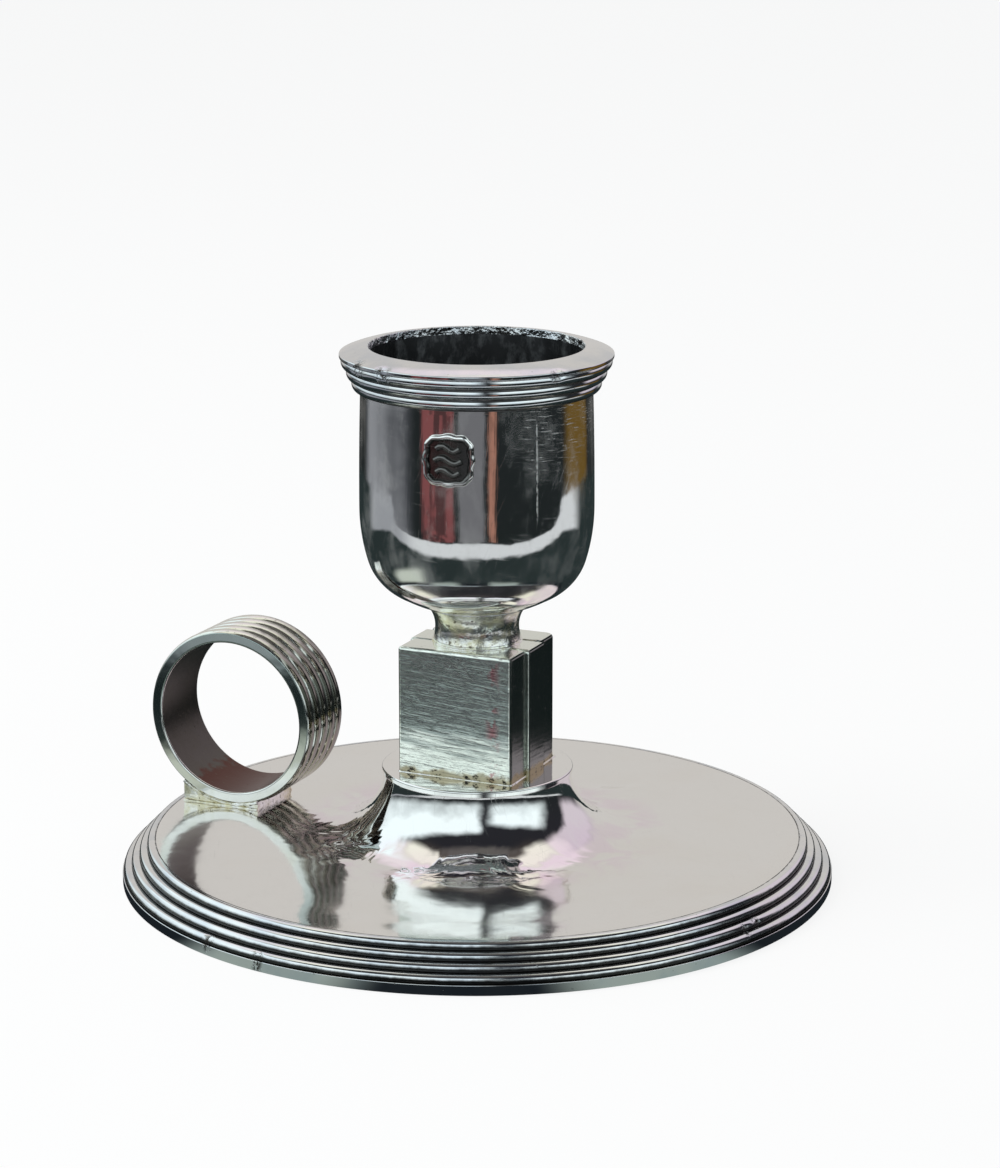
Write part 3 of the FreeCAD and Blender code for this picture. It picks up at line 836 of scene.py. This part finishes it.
def loop_finish(look):
    """Finger loop: worn reeds with brown grooves, brown tarnish and painted shade on the reeds towards the
    stem, smooth faces with painted shade higher up, and painted shade inside.
    """
    material, desk, spot = new_finish("loop_silver_worn")
    x, _, z = desk.xyz(spot)
    rag = desk.grain(spot, 0.8, 4.0, 0.6)
    oxide = oxide_and_shade_here(desk)
    reeds = desk.ramp(oxide, 0.02, 0.1)
    chips = desk.ramp(desk.grain(spot, 1.9, 4.0, 0.65), 0.6, 0.72) * reeds
    film = desk.ramp(desk.grain(spot, 0.35, 3.0, 0.6), 0.42, 0.7)
    # Dark: black oxide in the reeds' grooves, and painted shade on the loop's inner face.
    dark = desk.ramp(oxide + (rag - 0.5) * 0.5, 0.3, 0.7)
    face = facing(desk, 1)
    colour = desk.mix(film * 0.3 + 0.12, look.bright, (0.72, 0.72, 0.56))
    # Brown tarnish and painted shade on the reeds towards the stem.
    brown = reeds * desk.ramp(x + (rag - 0.5) * 5, -27, -20)
    colour = desk.mix(brown * 0.8, colour, (0.17, 0.16, 0.12))
    # Painted shade: the loop's flat faces turn dark grey-green higher up.
    shade = desk.ramp(z + (rag - 0.5) * 3, 9, 17)
    colour = desk.mix(face * shade * 0.85, colour, (0.3, 0.36, 0.35))
    colour = desk.mix(dark * 0.93, colour, (0.05, 0.04, 0.028))
    ruddy = dark * desk.ramp(z + (rag - 0.5) * 2.5, 7.8, 7.0)
    colour = desk.mix(ruddy, colour, (0.1, 0.034, 0.024))
    colour = desk.mix(chips * 0.4, colour, (0.2, 0.17, 0.12))
    rough = 0.09 + dark * 0.26 + chips * 0.16
    height = desk.grain(spot, 0.3, 2.0) * 6 + reeds * rag * 3 - chips * 2
    metal(desk, colour, rough, height, 0.0045)
    return material


FINISHES = {
    "base": base_finish,
    "moulding": moulding_finish,
    "stem": stem_finish,
    "cup": cup_finish,
    "joint": joint_finish,
    "loop": loop_finish,
}


def finish_of(context, kind):
    """The finish of that kind, made once."""
    key = "chamberstick " + kind
    for material in bpy.data.materials:
        if material.get("kind") == key:
            return material
    material = FINISHES[kind](context.scene.silver_look)
    material["kind"] = key
    return material


# Pieces.

class MakeBasePlate(Operator):
    """Flat plate and hollow trumpet foot, spun in one"""
    bl_idname = "chamberstick.base_plate"
    bl_label = "Base plate"

    def execute(self, context):
        b = context.scene.base_sizes
        sheet = b.plate_thickness
        under = b.plate_height - sheet
        outline = Outline(b.plate_radius, under, 0.3)
        outline.line(b.plate_radius, b.plate_height)
        outline.line(b.foot_spread, b.plate_height)
        outline.arc(b.foot_mouth, b.foot_height, b.foot_curve, "right", 56)
        outline.line(b.foot_mouth - sheet, b.foot_height)
        outline.arc(b.foot_spread, under, b.foot_curve + sheet, "left", 40, 0.3)
        outline.line(b.plate_radius, under, 0.3)
        finish = finish_of(context, "base")
        turned_piece("base_plate_spun", outline, finish, "base_silver", "base_plate", 320, PLATE_DENTS)
        return {"FINISHED"}


class MakeBaseBorder(Operator):
    """Reeded border moulding with its band, ledge and underside"""
    bl_idname = "chamberstick.base_border"
    bl_label = "Base border"

    def execute(self, context):
        b = context.scene.base_sizes
        finish = finish_of(context, "moulding")
        first = b.radius - b.band_step
        ledge = b.plate_radius - b.ledge_width
        under = b.plate_height - b.plate_thickness
        soft = b.foot_round
        fine = b.band_round
        outline = Outline(b.plate_radius, b.plate_height, 0.6)
        outline.line(b.plate_radius, under)
        outline.line(ledge, under, 0.4)
        outline.line(ledge, 0.0, 0.4)
        outline.line(b.radius - soft, 0.0, 0.4)
        outline.arc(b.radius, soft, soft, "left", 6)
        outline.line(b.radius, b.band_height - fine)
        outline.arc(b.radius - fine, b.band_height, fine, "left", 5)
        outline.line(first, b.band_height, 0.9)
        plain = turned_mesh("border_band", outline, finish, 384)
        low, high = (first, b.band_height), (b.plate_radius, b.plate_height)
        reeds = reeded_mesh("border_reeds", finish, b.reeds, b.reed_bulge, low, high, b.reed_ledge)
        piece = dented(joined("base_border_reeded", [plain, reeds]), knocks(BORDER_KNOCKS))
        settle(piece, "moulding_silver", "base_border_moulding")
        return {"FINISHED"}


class MakeFootCap(Operator):
    """Thin disc soldered over the mouth of the trumpet foot"""
    bl_idname = "chamberstick.foot_cap"
    bl_label = "Foot cap"

    def execute(self, context):
        b = context.scene.base_sizes
        soft = b.cap_round
        outline = Outline(0.0, b.foot_height, 0.5)
        outline.line(b.cap_radius - soft / 2, b.foot_height, 0.7)
        outline.arc(b.cap_radius, b.foot_height + soft / 2, soft / 2, "left", 6, 0.4)
        outline.line(b.cap_radius, b.cap_top - soft)
        outline.arc(b.cap_radius - soft, b.cap_top, soft, "left", 10)
        outline.line(0.0, b.cap_top)
        turned_piece("foot_cap_plate", outline, finish_of(context, "base"), "base_silver", "foot_cap_disc")
        return {"FINISHED"}


def plan_points(half_width, front, back, soft):
    """Plan of a slab, its corners rounded, with points near the ends of the straight runs."""
    spots = []
    right = half_width - soft
    corners = (
        (right, front + soft, -90), (right, back - soft, 0),
        (-right, back - soft, 90), (-right, front + soft, 180))
    for x, y, start in corners:
        arc = []
        for i in range(9):
            angle = math.radians(start + 90 * i / 8)
            arc.append(Vector((x + soft * math.cos(angle), y + soft * math.sin(angle), 0)))
        outward = Vector((math.cos(math.radians(start)), math.sin(math.radians(start)), 0))
        forward = Vector((-outward.y, outward.x, 0))
        spots += [arc[0] - forward * NEAR_EDGE, *arc, arc[-1] - outward * NEAR_EDGE]
    return spots


def slab_mesh(name, half_width, front, back, foot, top, soft, top_soft, material):
    """An upright slab with rounded corners and softened top edges."""
    shoulder = top - top_soft
    levels = [(foot, 0.0), (foot + 0.1 * MM, 0.0), (shoulder - NEAR_EDGE, 0.0), (shoulder, 0.0)]
    for i in range(1, 8):
        angle = math.radians(90 * i / 7)
        levels.append((shoulder + top_soft * math.sin(angle), top_soft * (1 - math.cos(angle))))
    levels.append((top, top_soft + NEAR_EDGE))
    verts = []
    for height, inset in levels:
        plan = plan_points(half_width - inset, front + inset, back - inset, max(soft - inset, SHARP))
        verts += [(spot.x, spot.y, height) for spot in plan]
    size = len(verts) // len(levels)
    faces = [tuple(reversed(range(size))), tuple(range(len(verts) - size, len(verts)))]
    for low in range(0, len(verts) - size, size):
        for i in range(size):
            j = (i + 1) % size
            faces.append((low + i, low + j, low + size + j, low + size + i))
    mesh = bpy.data.meshes.new(name)
    mesh.from_pydata(verts, [], faces)
    mesh.materials.append(material)
    return mesh


class MakeStemSlabs(Operator):
    """Three upright slabs, the middle one standing a little proud"""
    bl_idname = "chamberstick.stem_slabs"
    bl_label = "Stem slabs"

    def execute(self, context):
        s = context.scene.stem_sizes
        finish = finish_of(context, "stem")
        rows = (
            ("front", -1.5, s.half_width, s.front_round),
            ("middle", -0.5, s.middle_half_width, s.middle_round),
            ("back", 0.5, s.half_width, s.back_round))
        for name, start, half_width, soft in rows:
            front = start * s.slab_depth
            filed = name + "_slab_filed"
            mesh = slab_mesh(
                filed, half_width, front, front + s.slab_depth, s.foot, s.top, soft, s.top_round, finish)
            settle(joined(filed, [mesh], None, 70.0), "stem_silver", name + "_stem_slab")
        return {"FINISHED"}


class MakeNeck(Operator):
    """Short hollow-sided collar between the stem and the cup"""
    bl_idname = "chamberstick.neck"
    bl_label = "Neck collar"

    def execute(self, context):
        s = context.scene.stem_sizes
        seat = context.scene.cup_sizes.seat
        outline = Outline(0.0, s.top)
        outline.line(s.neck_foot, s.top, 0.5)
        outline.line(s.neck_foot, s.top + s.neck_lip)
        outline.arc(s.neck_top, seat, s.neck_waist, "right", 36)
        outline.line(0.0, seat, 0.5)
        finish = finish_of(context, "joint")
        turned_piece("neck_collar_cast", outline, finish, "stem_silver", "neck_collar", 160)
        return {"FINISHED"}


class MakeCup(Operator):
    """Candle cup: dished bottom, round corner and a slightly full wall"""
    bl_idname = "chamberstick.cup"
    bl_label = "Candle cup"

    def execute(self, context):
        c = context.scene.cup_sizes
        neck_top = context.scene.stem_sizes.neck_top
        wall = c.belly_radius - c.bore
        join_height = c.seat + c.join_height
        outline = Outline(0.0, c.seat)
        outline.line(neck_top, c.seat)
        outline.arc(c.join_radius, join_height, c.dish, "left", 10)
        outline.arc(c.turn_radius, c.turn_height, c.corner, "left", 36)
        outline.arc(c.belly_radius, c.belly_height, c.turn_curve, "left", 28)
        outline.arc(c.wall_radius, c.seat + c.shoulder, c.wall_curve, "left", 14)
        outline.line(c.wall_radius, c.edge)
        # The inside takes oxide value 1, which sets the cup finish's painted shade inside: grey and streaked.
        outline.line(c.bore, c.edge, 1.0)
        outline.line(c.bore, c.hollow_foot, 1.0)
        outline.arc(c.join_radius - wall, join_height + c.floor, c.hollow_corner, "right", 32, 1.0)
        outline.arc(0.0, c.seat + c.floor, c.dish - c.floor, "right", 16, 1.0)
        turned_piece("candle_cup_spun", outline, finish_of(context, "cup"), "cup_silver", "candle_cup", 320)
        return {"FINISHED"}


class MakeMark(Operator):
    """Plain lobed mark punched in the cup: a frame and three waved bars"""
    bl_idname = "chamberstick.mark"
    bl_label = "Cup mark"

    def execute(self, context):
        c = context.scene.cup_sizes
        finish = finish_of(context, "cup")
        runs = [("frame", mark_outline(), FRAME_THICK, FRAME_LIFT)]
        for i, wave in enumerate(MARK_WAVES, 1):
            runs.append(("bar_" + str(i), mark_wave(*wave), BAR_THICK, BAR_LIFT))
        for i, (part, spots, thick, lift) in enumerate(runs):
            places = [on_cup(across, up, c, lift) for across, up in spots]
            closed = part == "frame"
            solder_run("cup_mark_" + part, places, closed, thick, 0.35, 20.0 + i, finish, "cup_silver")
        return {"FINISHED"}


class MakeCupRim(Operator):
    """Domed flange over the cup's edge, with reeds stepping in below it"""
    bl_idname = "chamberstick.cup_rim"
    bl_label = "Cup rim"

    def execute(self, context):
        c = context.scene.cup_sizes
        finish = finish_of(context, "moulding")
        foot = c.wall_radius + c.rim_step
        highest = c.flange_radius - c.flange_overhang
        soft = c.flange_round
        edge_top = c.flange_under + c.flange_edge
        outline = Outline(highest, c.flange_under, 0.6)
        outline.line(c.flange_radius - soft, c.flange_under, 0.3)
        outline.arc(c.flange_radius, c.flange_under + soft, soft, "left", 6)
        outline.line(c.flange_radius, edge_top - soft)
        outline.arc(c.flange_radius - soft, edge_top + 0.02 * MM, soft * 1.05, "left", 6)
        outline.arc(c.bore + soft, c.flange_top - 0.03 * MM, c.flange_dome, "left", 24)
        outline.arc(c.bore, c.flange_top - soft, soft, "left", 6, -0.6)
        outline.line(c.bore, c.edge, -1.0)
        outline.line(c.wall_radius, c.edge)
        outline.line(c.wall_radius, c.rim_foot, 0.5)
        outline.line(foot, c.rim_foot, 0.7)
        plain = turned_mesh("rim_flange", outline, finish, 384)
        low, high = (foot, c.rim_foot), (highest, c.flange_under)
        reeds = reeded_mesh("rim_reeds", finish, c.rim_reeds, c.rim_bulge, low, high)
        piece = dented(joined("cup_rim_reeded", [plain, reeds]), knocks(RIM_KNOCKS))
        settle(piece, "moulding_silver", "cup_rim_moulding")
        return {"FINISHED"}


class MakeFingerLoop(Operator):
    """Reeded band bent to an upright ring"""
    bl_idname = "chamberstick.finger_loop"
    bl_label = "Finger loop"

    def execute(self, context):
        p = context.scene.loop_sizes
        finish = finish_of(context, "loop")
        half = p.width / 2
        soft = p.edge_round
        groove = p.crest - p.reed_depth
        pitch = p.width / p.reeds
        bulge = (pitch * pitch / 4 + p.reed_depth ** 2) / (p.reed_depth * 2)
        outline = Outline(groove, half, 0.2)
        outline.line(p.inside + soft, half)
        outline.arc(p.inside, half - soft, soft, "left", 8)
        # The inner face takes a high oxide value, which paints shade inside the loop.
        outline.line(p.inside, -half + soft, 0.8)
        outline.arc(p.inside + soft, -half, soft, "left", 8)
        outline.line(groove, -half)
        plain = turned_mesh("loop_band", outline, finish, 256)
        ends = (groove, -half), (groove, half)
        reeds = reeded_mesh("loop_reeds", finish, p.reeds, bulge / pitch, *ends, 0.0, 256, 18)
        upright = Matrix.Translation((-p.middle, 0.0, p.height)) @ Matrix.Rotation(math.radians(90), 4, "X")
        piece = joined("finger_loop_reeded", [plain, reeds], upright)
        settle(piece, "loop_silver", "finger_loop")
        return {"FINISHED"}


def under_loop(x, p):
    """A height on the loop's crest, under its middle or beside it."""
    return p.height - math.sqrt(p.crest ** 2 - (x + p.middle) ** 2)


def under_loop_mesh(name, start, end, plate, half_width, p, material, steps=24, rows=20):
    """A filler between the loop and the plate, its upper face hollowed to the loop."""
    work = bmesh.new()
    grid = []
    for side in range(rows + 1):
        y = -half_width + 2 * half_width * side / rows
        along = [start + (end - start) * i / steps for i in range(steps + 1)]
        grid.append([[work.verts.new((x, y, z)) for z in (plate, under_loop(x, p))] for x in along])
    for one, two in zip(grid, grid[1:]):
        for i in range(steps):
            work.faces.new((one[i][1], one[i + 1][1], two[i + 1][1], two[i][1]))
            work.faces.new((one[i][0], two[i][0], two[i + 1][0], one[i + 1][0]))
        for i in (0, steps):
            work.faces.new((one[i][0], one[i][1], two[i][1], two[i][0]))
    for line in (grid[0], grid[rows]):
        for i in range(steps):
            work.faces.new((line[i][0], line[i + 1][0], line[i + 1][1], line[i][1]))
    mesh = bpy.data.meshes.new(name)
    work.to_mesh(mesh)
    work.free()
    mesh.materials.append(material)
    return mesh


class MakeLoopSeat(Operator):
    """Saddle strip and wedge block that carry the finger loop"""
    bl_idname = "chamberstick.loop_seat"
    bl_label = "Loop seat"

    def execute(self, context):
        p = context.scene.loop_sizes
        plate = context.scene.base_sizes.plate_height
        finish = finish_of(context, "joint")
        rows = (
            ("loop_saddle_soldered", "loop_saddle_strip", SADDLE_LOW, SADDLE_HIGH),
            ("loop_wedge_soldered", "loop_wedge_block", BLOCK_LOW, BLOCK_HIGH))
        for name, node, low, high in rows:
            mesh = under_loop_mesh(name, low.x, high.x, plate, SADDLE_HIGH.y, p, finish)
            settle(joined(name, [mesh]), "loop_silver", node)
        return {"FINISHED"}


def path_object(name, spots, closed):
    """An edge chain through some spots."""
    mesh = bpy.data.meshes.new(name)
    edges = [(i, i + 1) for i in range(len(spots) - 1)]
    if closed:
        edges.append((len(spots) - 1, 0))
    mesh.from_pydata([tuple(spot) for spot in spots], edges, [])
    return link(bpy.data.objects.new(name, mesh))


def solder_run(name, spots, closed, thickness, unevenness, seed, material, slot):
    """One bead of solder, riding on the stick."""
    carrier = path_object(name, spots, closed)
    mesh = grown(carrier, solder_tree(), {
        "Thickness": thickness, "Unevenness": unevenness, "Lump Size": thickness * 4, "Seed": seed,
        "Sides": 10, "Material": material})
    return settle(joined(name, [mesh]), slot)


def ring_spots(radius, height, steps):
    """Spots round the axis."""
    turns = [2 * math.pi * i / steps for i in range(steps)]
    return [Vector((radius * math.cos(a), radius * math.sin(a), height)) for a in turns]


class MakeSolder(Operator):
    """Fine solder beads along the joints"""
    bl_idname = "chamberstick.solder"
    bl_label = "Solder"

    def execute(self, context):
        s = context.scene.stem_sizes
        c = context.scene.cup_sizes
        b = context.scene.base_sizes
        p = context.scene.loop_sizes
        finish = finish_of(context, "joint")
        depth = s.slab_depth * 1.5
        foot = plan_points(s.half_width, -depth, depth, s.front_round)
        stem_foot = []
        for spot, after in zip(foot, foot[1:] + foot[:1]):
            parts = max(1, int((after - spot).length / (0.4 * MM)))
            stem_foot += [spot.lerp(after, k / parts) + Vector((0, 0, s.foot)) for k in range(parts)]
        rings = (
            ("stem_foot", stem_foot, 1.0, 0.6, 3.0, "stem_silver"),
            ("neck_foot", ring_spots(s.neck_foot, s.top, 120), 1.0, 0.5, 5.0, "stem_silver"),
            ("neck_top", ring_spots(s.neck_top, c.seat, 120), 1.0, 0.4, 8.0, "stem_silver"),
            ("foot_mouth", ring_spots(b.foot_mouth, b.foot_height, 200), 0.6, 0.5, 11.0, "base_silver"))
        for joint, spots, thick, uneven, seed, slot in rings:
            solder_run("solder_" + joint, spots, True, BEAD * thick, uneven, seed, finish, slot)
        low, high = min(BLOCK_LOW.x, SADDLE_LOW.x), max(BLOCK_HIGH.x, SADDLE_HIGH.x)
        along = [low + (high - low) * i / 60 for i in range(61)]
        for where, y, seed in (("front", -SADDLE_HIGH.y, 14.0), ("back", SADDLE_HIGH.y, 17.0)):
            seat = [Vector((x, y, b.plate_height)) for x in along]
            foot = [Vector((x, y, under_loop(x, p))) for x in along]
            for joint, spots, thick, turn in (("seat_", seat, 2.0, 0), ("foot_", foot, 1.6, 1)):
                solder_run(
                    "solder_loop_" + joint + where, spots, False, BEAD * thick, 0.7, seed + turn,
                    finish, "loop_silver")
        return {"FINISHED"}


# Stage.

def bearing(x, y):
    """Degrees round the stick from the camera's side: left below 0, right above it."""
    c, s = math.cos(CAMERA_TURN), math.sin(CAMERA_TURN)
    return (x * c + y * s).maths("ARCTAN2", x * s - y * c) * (180 / math.pi)


def straight_rays(desk):
    """1 for what the camera sees directly or through something clear."""
    rays = desk.outputs(desk.node("ShaderNodeLightPath"))
    return rays["Is Camera Ray"] + rays["Is Transmission Ray"]


def studio_world(look):
    """White to the camera; the silver sees a dim room with two windows, a pale wall and coloured panels."""
    world = bpy.data.worlds.new("studio")
    bpy.context.scene.world = world
    world.use_nodes = True
    desk = Desk(world.node_tree)
    place = desk.coordinate("Generated")
    x, y, z = desk.xyz(place)
    warp = desk.grain(place, 2.2, 3.0, 0.55) - 0.5
    around = bearing(x, y) + warp * 16
    away = around.maths("ABSOLUTE")
    level = z.maths("ARCSINE") * (180 / math.pi)
    up = level + (desk.grain(place, 3.1, 3.0, 0.55) - 0.5) * 9
    seen = desk.mix(desk.ramp(up, -30, 30), (0.013, 0.018, 0.018), (0.021, 0.022, 0.027))
    wall = tuple(look.wall * v for v in (1.0, 0.975, 0.945))
    glare = desk.ramp(up, 4, 36) * 0.4 + 0.68 + warp * 0.9
    pale = desk.mix(glare, (0.0, 0.0, 0.0), tuple(look.window * v for v in (0.84, 0.96, 1.0)))
    low_wall = desk.span(level, -20, -6.5, 0.8)
    blots = desk.ramp(desk.grain(place, 11.0, 3.0, 0.6), 0.44, 0.56)
    fade = desk.ramp(around + warp * 30 + (level + 12) * 3, -122, -66)
    hazy = desk.mix(fade, (0.25, 0.265, 0.29), (0.06, 0.065, 0.075))

    def panel(turned, sides, raised, heights, soft=(6, 6)):
        """A soft-edged panel between two bearings and two heights, in degrees."""
        return desk.span(turned, *sides, soft[0]) * desk.span(raised, *heights, soft[1])

    def stripe(left, right):
        return desk.span(around, left, right, 2) * low_wall

    panels = (
        # Below, ceiling behind, and overhead.
        (desk.ramp(up, -34, -50), (0.3, 0.3, 0.31)),
        (panel(away, (90, 230), up, (58, 88), (30, 8)), (0.075, 0.066, 0.056)),
        (desk.ramp(up, 68, 80), (0.12, 0.115, 0.11)),
        # The pale wall behind, with a lavender and a cream band over it and a lavender panel at the right.
        (panel(away, (146, 230), up, (-8, 50), (8, 5)), wall),
        (panel(away, (108, 230), up, (40, 56), (12, 5)), (0.85, 0.775, 0.825)),
        (panel(away, (100, 230), up, (54, 69), (12, 4)), (0.93, 0.95, 0.84)),
        (panel(around, (112, 150), up, (2, 45)), (0.66, 0.6, 0.67)),
        # The two windows.
        (panel(around, (-150, 4), up, (1, 50)), pale),
        (panel(around, (17, 84), up, (4, 38), (9, 6)), pale),
        # Red, grey, orange and amber stripes low down, and a hazy patch at the left.
        (stripe(-54, -24) * (blots * 0.7 + 0.3), (0.2, 0.07, 0.073)),
        (stripe(-19, 7), (0.15, 0.155, 0.17)),
        (stripe(11, 18) * (blots * 0.4 + 0.6), (0.36, 0.18, 0.135)),
        (panel(around, (98, 136), level, (-15.5, -7), (6, 1.5)), (0.13, 0.08, 0.02)),
        (panel(around, (-136, -68), level, (-17, -6.5), (9, 1.5)), hazy),
    )
    for mask, tint in panels:
        seen = desk.mix(mask, seen, tint)
    shown = desk.mix(straight_rays(desk), seen, (1.0, 1.0, 1.0))
    sky = desk.node("ShaderNodeBackground", None, {"Color": shown, "Strength": 1.0})
    desk.end("ShaderNodeOutputWorld", "Surface", sky)


def floor_finish(look):
    """White floor that keeps the object's shadow and is clear from below."""
    material, desk = new_material("studio_floor")
    sides = desk.outputs(desk.node("ShaderNodeNewGeometry"))
    cloth = desk.node("ShaderNodeBsdfDiffuse", None, {"Color": rgba(tuple(look.floor))})
    glow = desk.node("ShaderNodeEmission", None, {"Color": (1.0, 1.0, 1.0, 1.0), "Strength": 1.0})
    lit = desk.node("ShaderNodeMixShader", None, {0: straight_rays(desk) * 0.86, 1: cloth, 2: glow})
    clear = desk.node("ShaderNodeBsdfTransparent")
    whole = desk.node("ShaderNodeMixShader", None, {0: sides["Backfacing"], 1: lit, 2: clear})
    desk.end("ShaderNodeOutputMaterial", "Surface", whole)
    return material


def mirrored_card():
    """A glowing card for the table as only the silver sees it: painted shadow by the base with two painted
    lit patches, pale further out, clear beyond.
    """
    material, desk = new_material("studio_card")
    x, y, _ = desk.xyz(desk.coordinate("Object"))
    out = (x * x + y * y).maths("SQRT") * 1000
    around = bearing(x, y)
    side = desk.span(around, -122, 112, 8)
    # Painted light: two lit patches on the card near the base.
    lit = desk.span(around, -50, -20, 6) + desk.span(around, 15, 46, 6)
    swing = (around.maths("ABSOLUTE").maths("MINIMUM", 90.0) / 75) ** 4.0
    rag = desk.grain(desk.vector(x, y, 0.0), 60.0, 4.0, 0.6) - 0.5
    far = (out + rag * 16) / (1 + swing * 0.42)
    # Painted shadow: the card is near black close to the base, paler in the lit patches.
    near = desk.mix(lit, (0.012, 0.016, 0.02), (0.3, 0.36, 0.34))
    tint = desk.mix(desk.ramp(out, 43, 47), near, (0.022, 0.032, 0.033))
    patch = desk.span(around, -96, -58, 8) * desk.span(out, 45, 62, 4)
    tint = desk.mix(patch, tint, (0.5, 0.56, 0.5))
    strip = desk.mix(desk.ramp(around, -56, -84), (0.62, 0.66, 0.69), (0.3, 0.32, 0.35))
    tint = desk.mix(desk.ramp(far, 72, 80) * side, tint, strip)
    glow = desk.node("ShaderNodeEmission", None, {"Color": tint, "Strength": 1.0})
    clear = desk.node("ShaderNodeBsdfTransparent")
    whole = desk.node("ShaderNodeMixShader", None, {0: desk.ramp(far, 110, 116), 1: glow, 2: clear})
    desk.end("ShaderNodeOutputMaterial", "Surface", whole)
    card = floor_ring("card_table", CARD_INNER, CARD_OUTER, material, CARD_HEIGHT)
    card.visible_camera = False
    card.visible_diffuse = False
    card.visible_shadow = False
    card.visible_transmission = False


def floor_ring(name, inner, outer, material, height, steps=128):
    """A flat ring or disc round the axis."""
    work = bmesh.new()
    near, far = (
        [work.verts.new(spot) for spot in ring_spots(radius, height, steps)] for radius in (inner, outer))
    for i in range(steps):
        j = (i + 1) % steps
        work.faces.new((near[i], far[i], far[j], near[j]))
    bmesh.ops.remove_doubles(work, verts=work.verts, dist=1e-6)
    mesh = bpy.data.meshes.new(name)
    work.to_mesh(mesh)
    work.free()
    mesh.materials.append(material)
    made = link(bpy.data.objects.new(name, mesh))
    return made


CAMERA_TURN = math.radians(24.0)
CAMERA_PITCH = math.radians(14.22)
CAMERA_RIGHT = 2.42 * MM
CAMERA_BACK = 347.5 * MM
CAMERA_HEIGHT = 119.7 * MM
FAR_FLOOR = 6.0
FLOOR_HEIGHT = -0.03 * MM
CARD_HEIGHT = -0.2 * MM
CARD_INNER = 37.5 * MM
CARD_OUTER = 270 * MM
LAMP_PLACE = (-0.35, -0.25, 0.55)
LAMP_SIZE = 0.5
LAMP_POWER = 3.2


class MakeStage(Operator):
    """White floor, the room that the silver sees, a soft lamp and the camera at the photograph's angle"""
    bl_idname = "chamberstick.stage"
    bl_label = "Stage"

    def execute(self, context):
        look = context.scene.studio_look
        scene = context.scene
        scene.view_settings.view_transform = "Standard"
        studio_world(look)
        floor = floor_ring("floor", 0.0, FAR_FLOOR, floor_finish(look), FLOOR_HEIGHT)
        floor.visible_glossy = False
        mirrored_card()
        lamp = bpy.data.lights.new("soft_window", "AREA")
        lamp.shape = "DISK"
        lamp.size = LAMP_SIZE
        lamp.energy = LAMP_POWER
        holder = link(bpy.data.objects.new("soft_window", lamp))
        holder.location = LAMP_PLACE
        holder.rotation_mode = "QUATERNION"
        holder.rotation_quaternion = Vector(LAMP_PLACE).to_track_quat("Z", "Y")
        holder.visible_glossy = False
        eye = bpy.data.cameras.new("photo_camera")
        eye.sensor_width = 36.0
        eye.lens = look.lens
        eye.clip_start = 0.01
        eye.clip_end = 20.0
        stand = link(bpy.data.objects.new("photo_camera", eye))
        c, s = math.cos(CAMERA_TURN), math.sin(CAMERA_TURN)
        stand.location = (
            CAMERA_RIGHT * c + CAMERA_BACK * s, CAMERA_RIGHT * s - CAMERA_BACK * c, CAMERA_HEIGHT)
        stand.rotation_euler = (math.pi / 2 - CAMERA_PITCH, 0.0, CAMERA_TURN)
        scene.camera = stand
        return {"FINISHED"}


class ChamberstickPanel(Panel):
    bl_idname = "VIEW3D_PT_chamberstick"
    bl_label = "Chamberstick"
    bl_space_type = "VIEW_3D"
    bl_region_type = "UI"
    bl_category = "Chamberstick"

    def draw(self, context):
        layout = self.layout
        for name in GROUPS:
            group = getattr(context.scene, name)
            box = layout.box()
            box.label(text=name.replace("_", " ").capitalize())
            for item in group.bl_rna.properties:
                if item.identifier not in ("rna_type", "name"):
                    box.prop(group, item.identifier)
        for maker in MAKERS:
            layout.operator(maker.bl_idname)


GROUPS = {
    "base_sizes": BaseSizes,
    "stem_sizes": StemSizes,
    "cup_sizes": CupSizes,
    "loop_sizes": LoopSizes,
    "silver_look": SilverLook,
    "studio_look": StudioLook,
}
MAKERS = (
    MakeStage, MakeBasePlate, MakeBaseBorder, MakeFootCap, MakeStemSlabs, MakeNeck,
    MakeCup, MakeMark, MakeCupRim, MakeFingerLoop, MakeLoopSeat, MakeSolder)


def register():
    for kind in (*GROUPS.values(), *MAKERS, ChamberstickPanel):
        bpy.utils.register_class(kind)
    for name, kind in GROUPS.items():
        setattr(bpy.types.Scene, name, PointerProperty(type=kind))


def unregister():
    for name in GROUPS:
        delattr(bpy.types.Scene, name)
    for kind in reversed((*GROUPS.values(), *MAKERS, ChamberstickPanel)):
        bpy.utils.unregister_class(kind)


def main():
    register()
    for maker in MAKERS:
        group, action = maker.bl_idname.split(".")
        getattr(getattr(bpy.ops, group), action)()


if __name__ == "__main__":
    main()
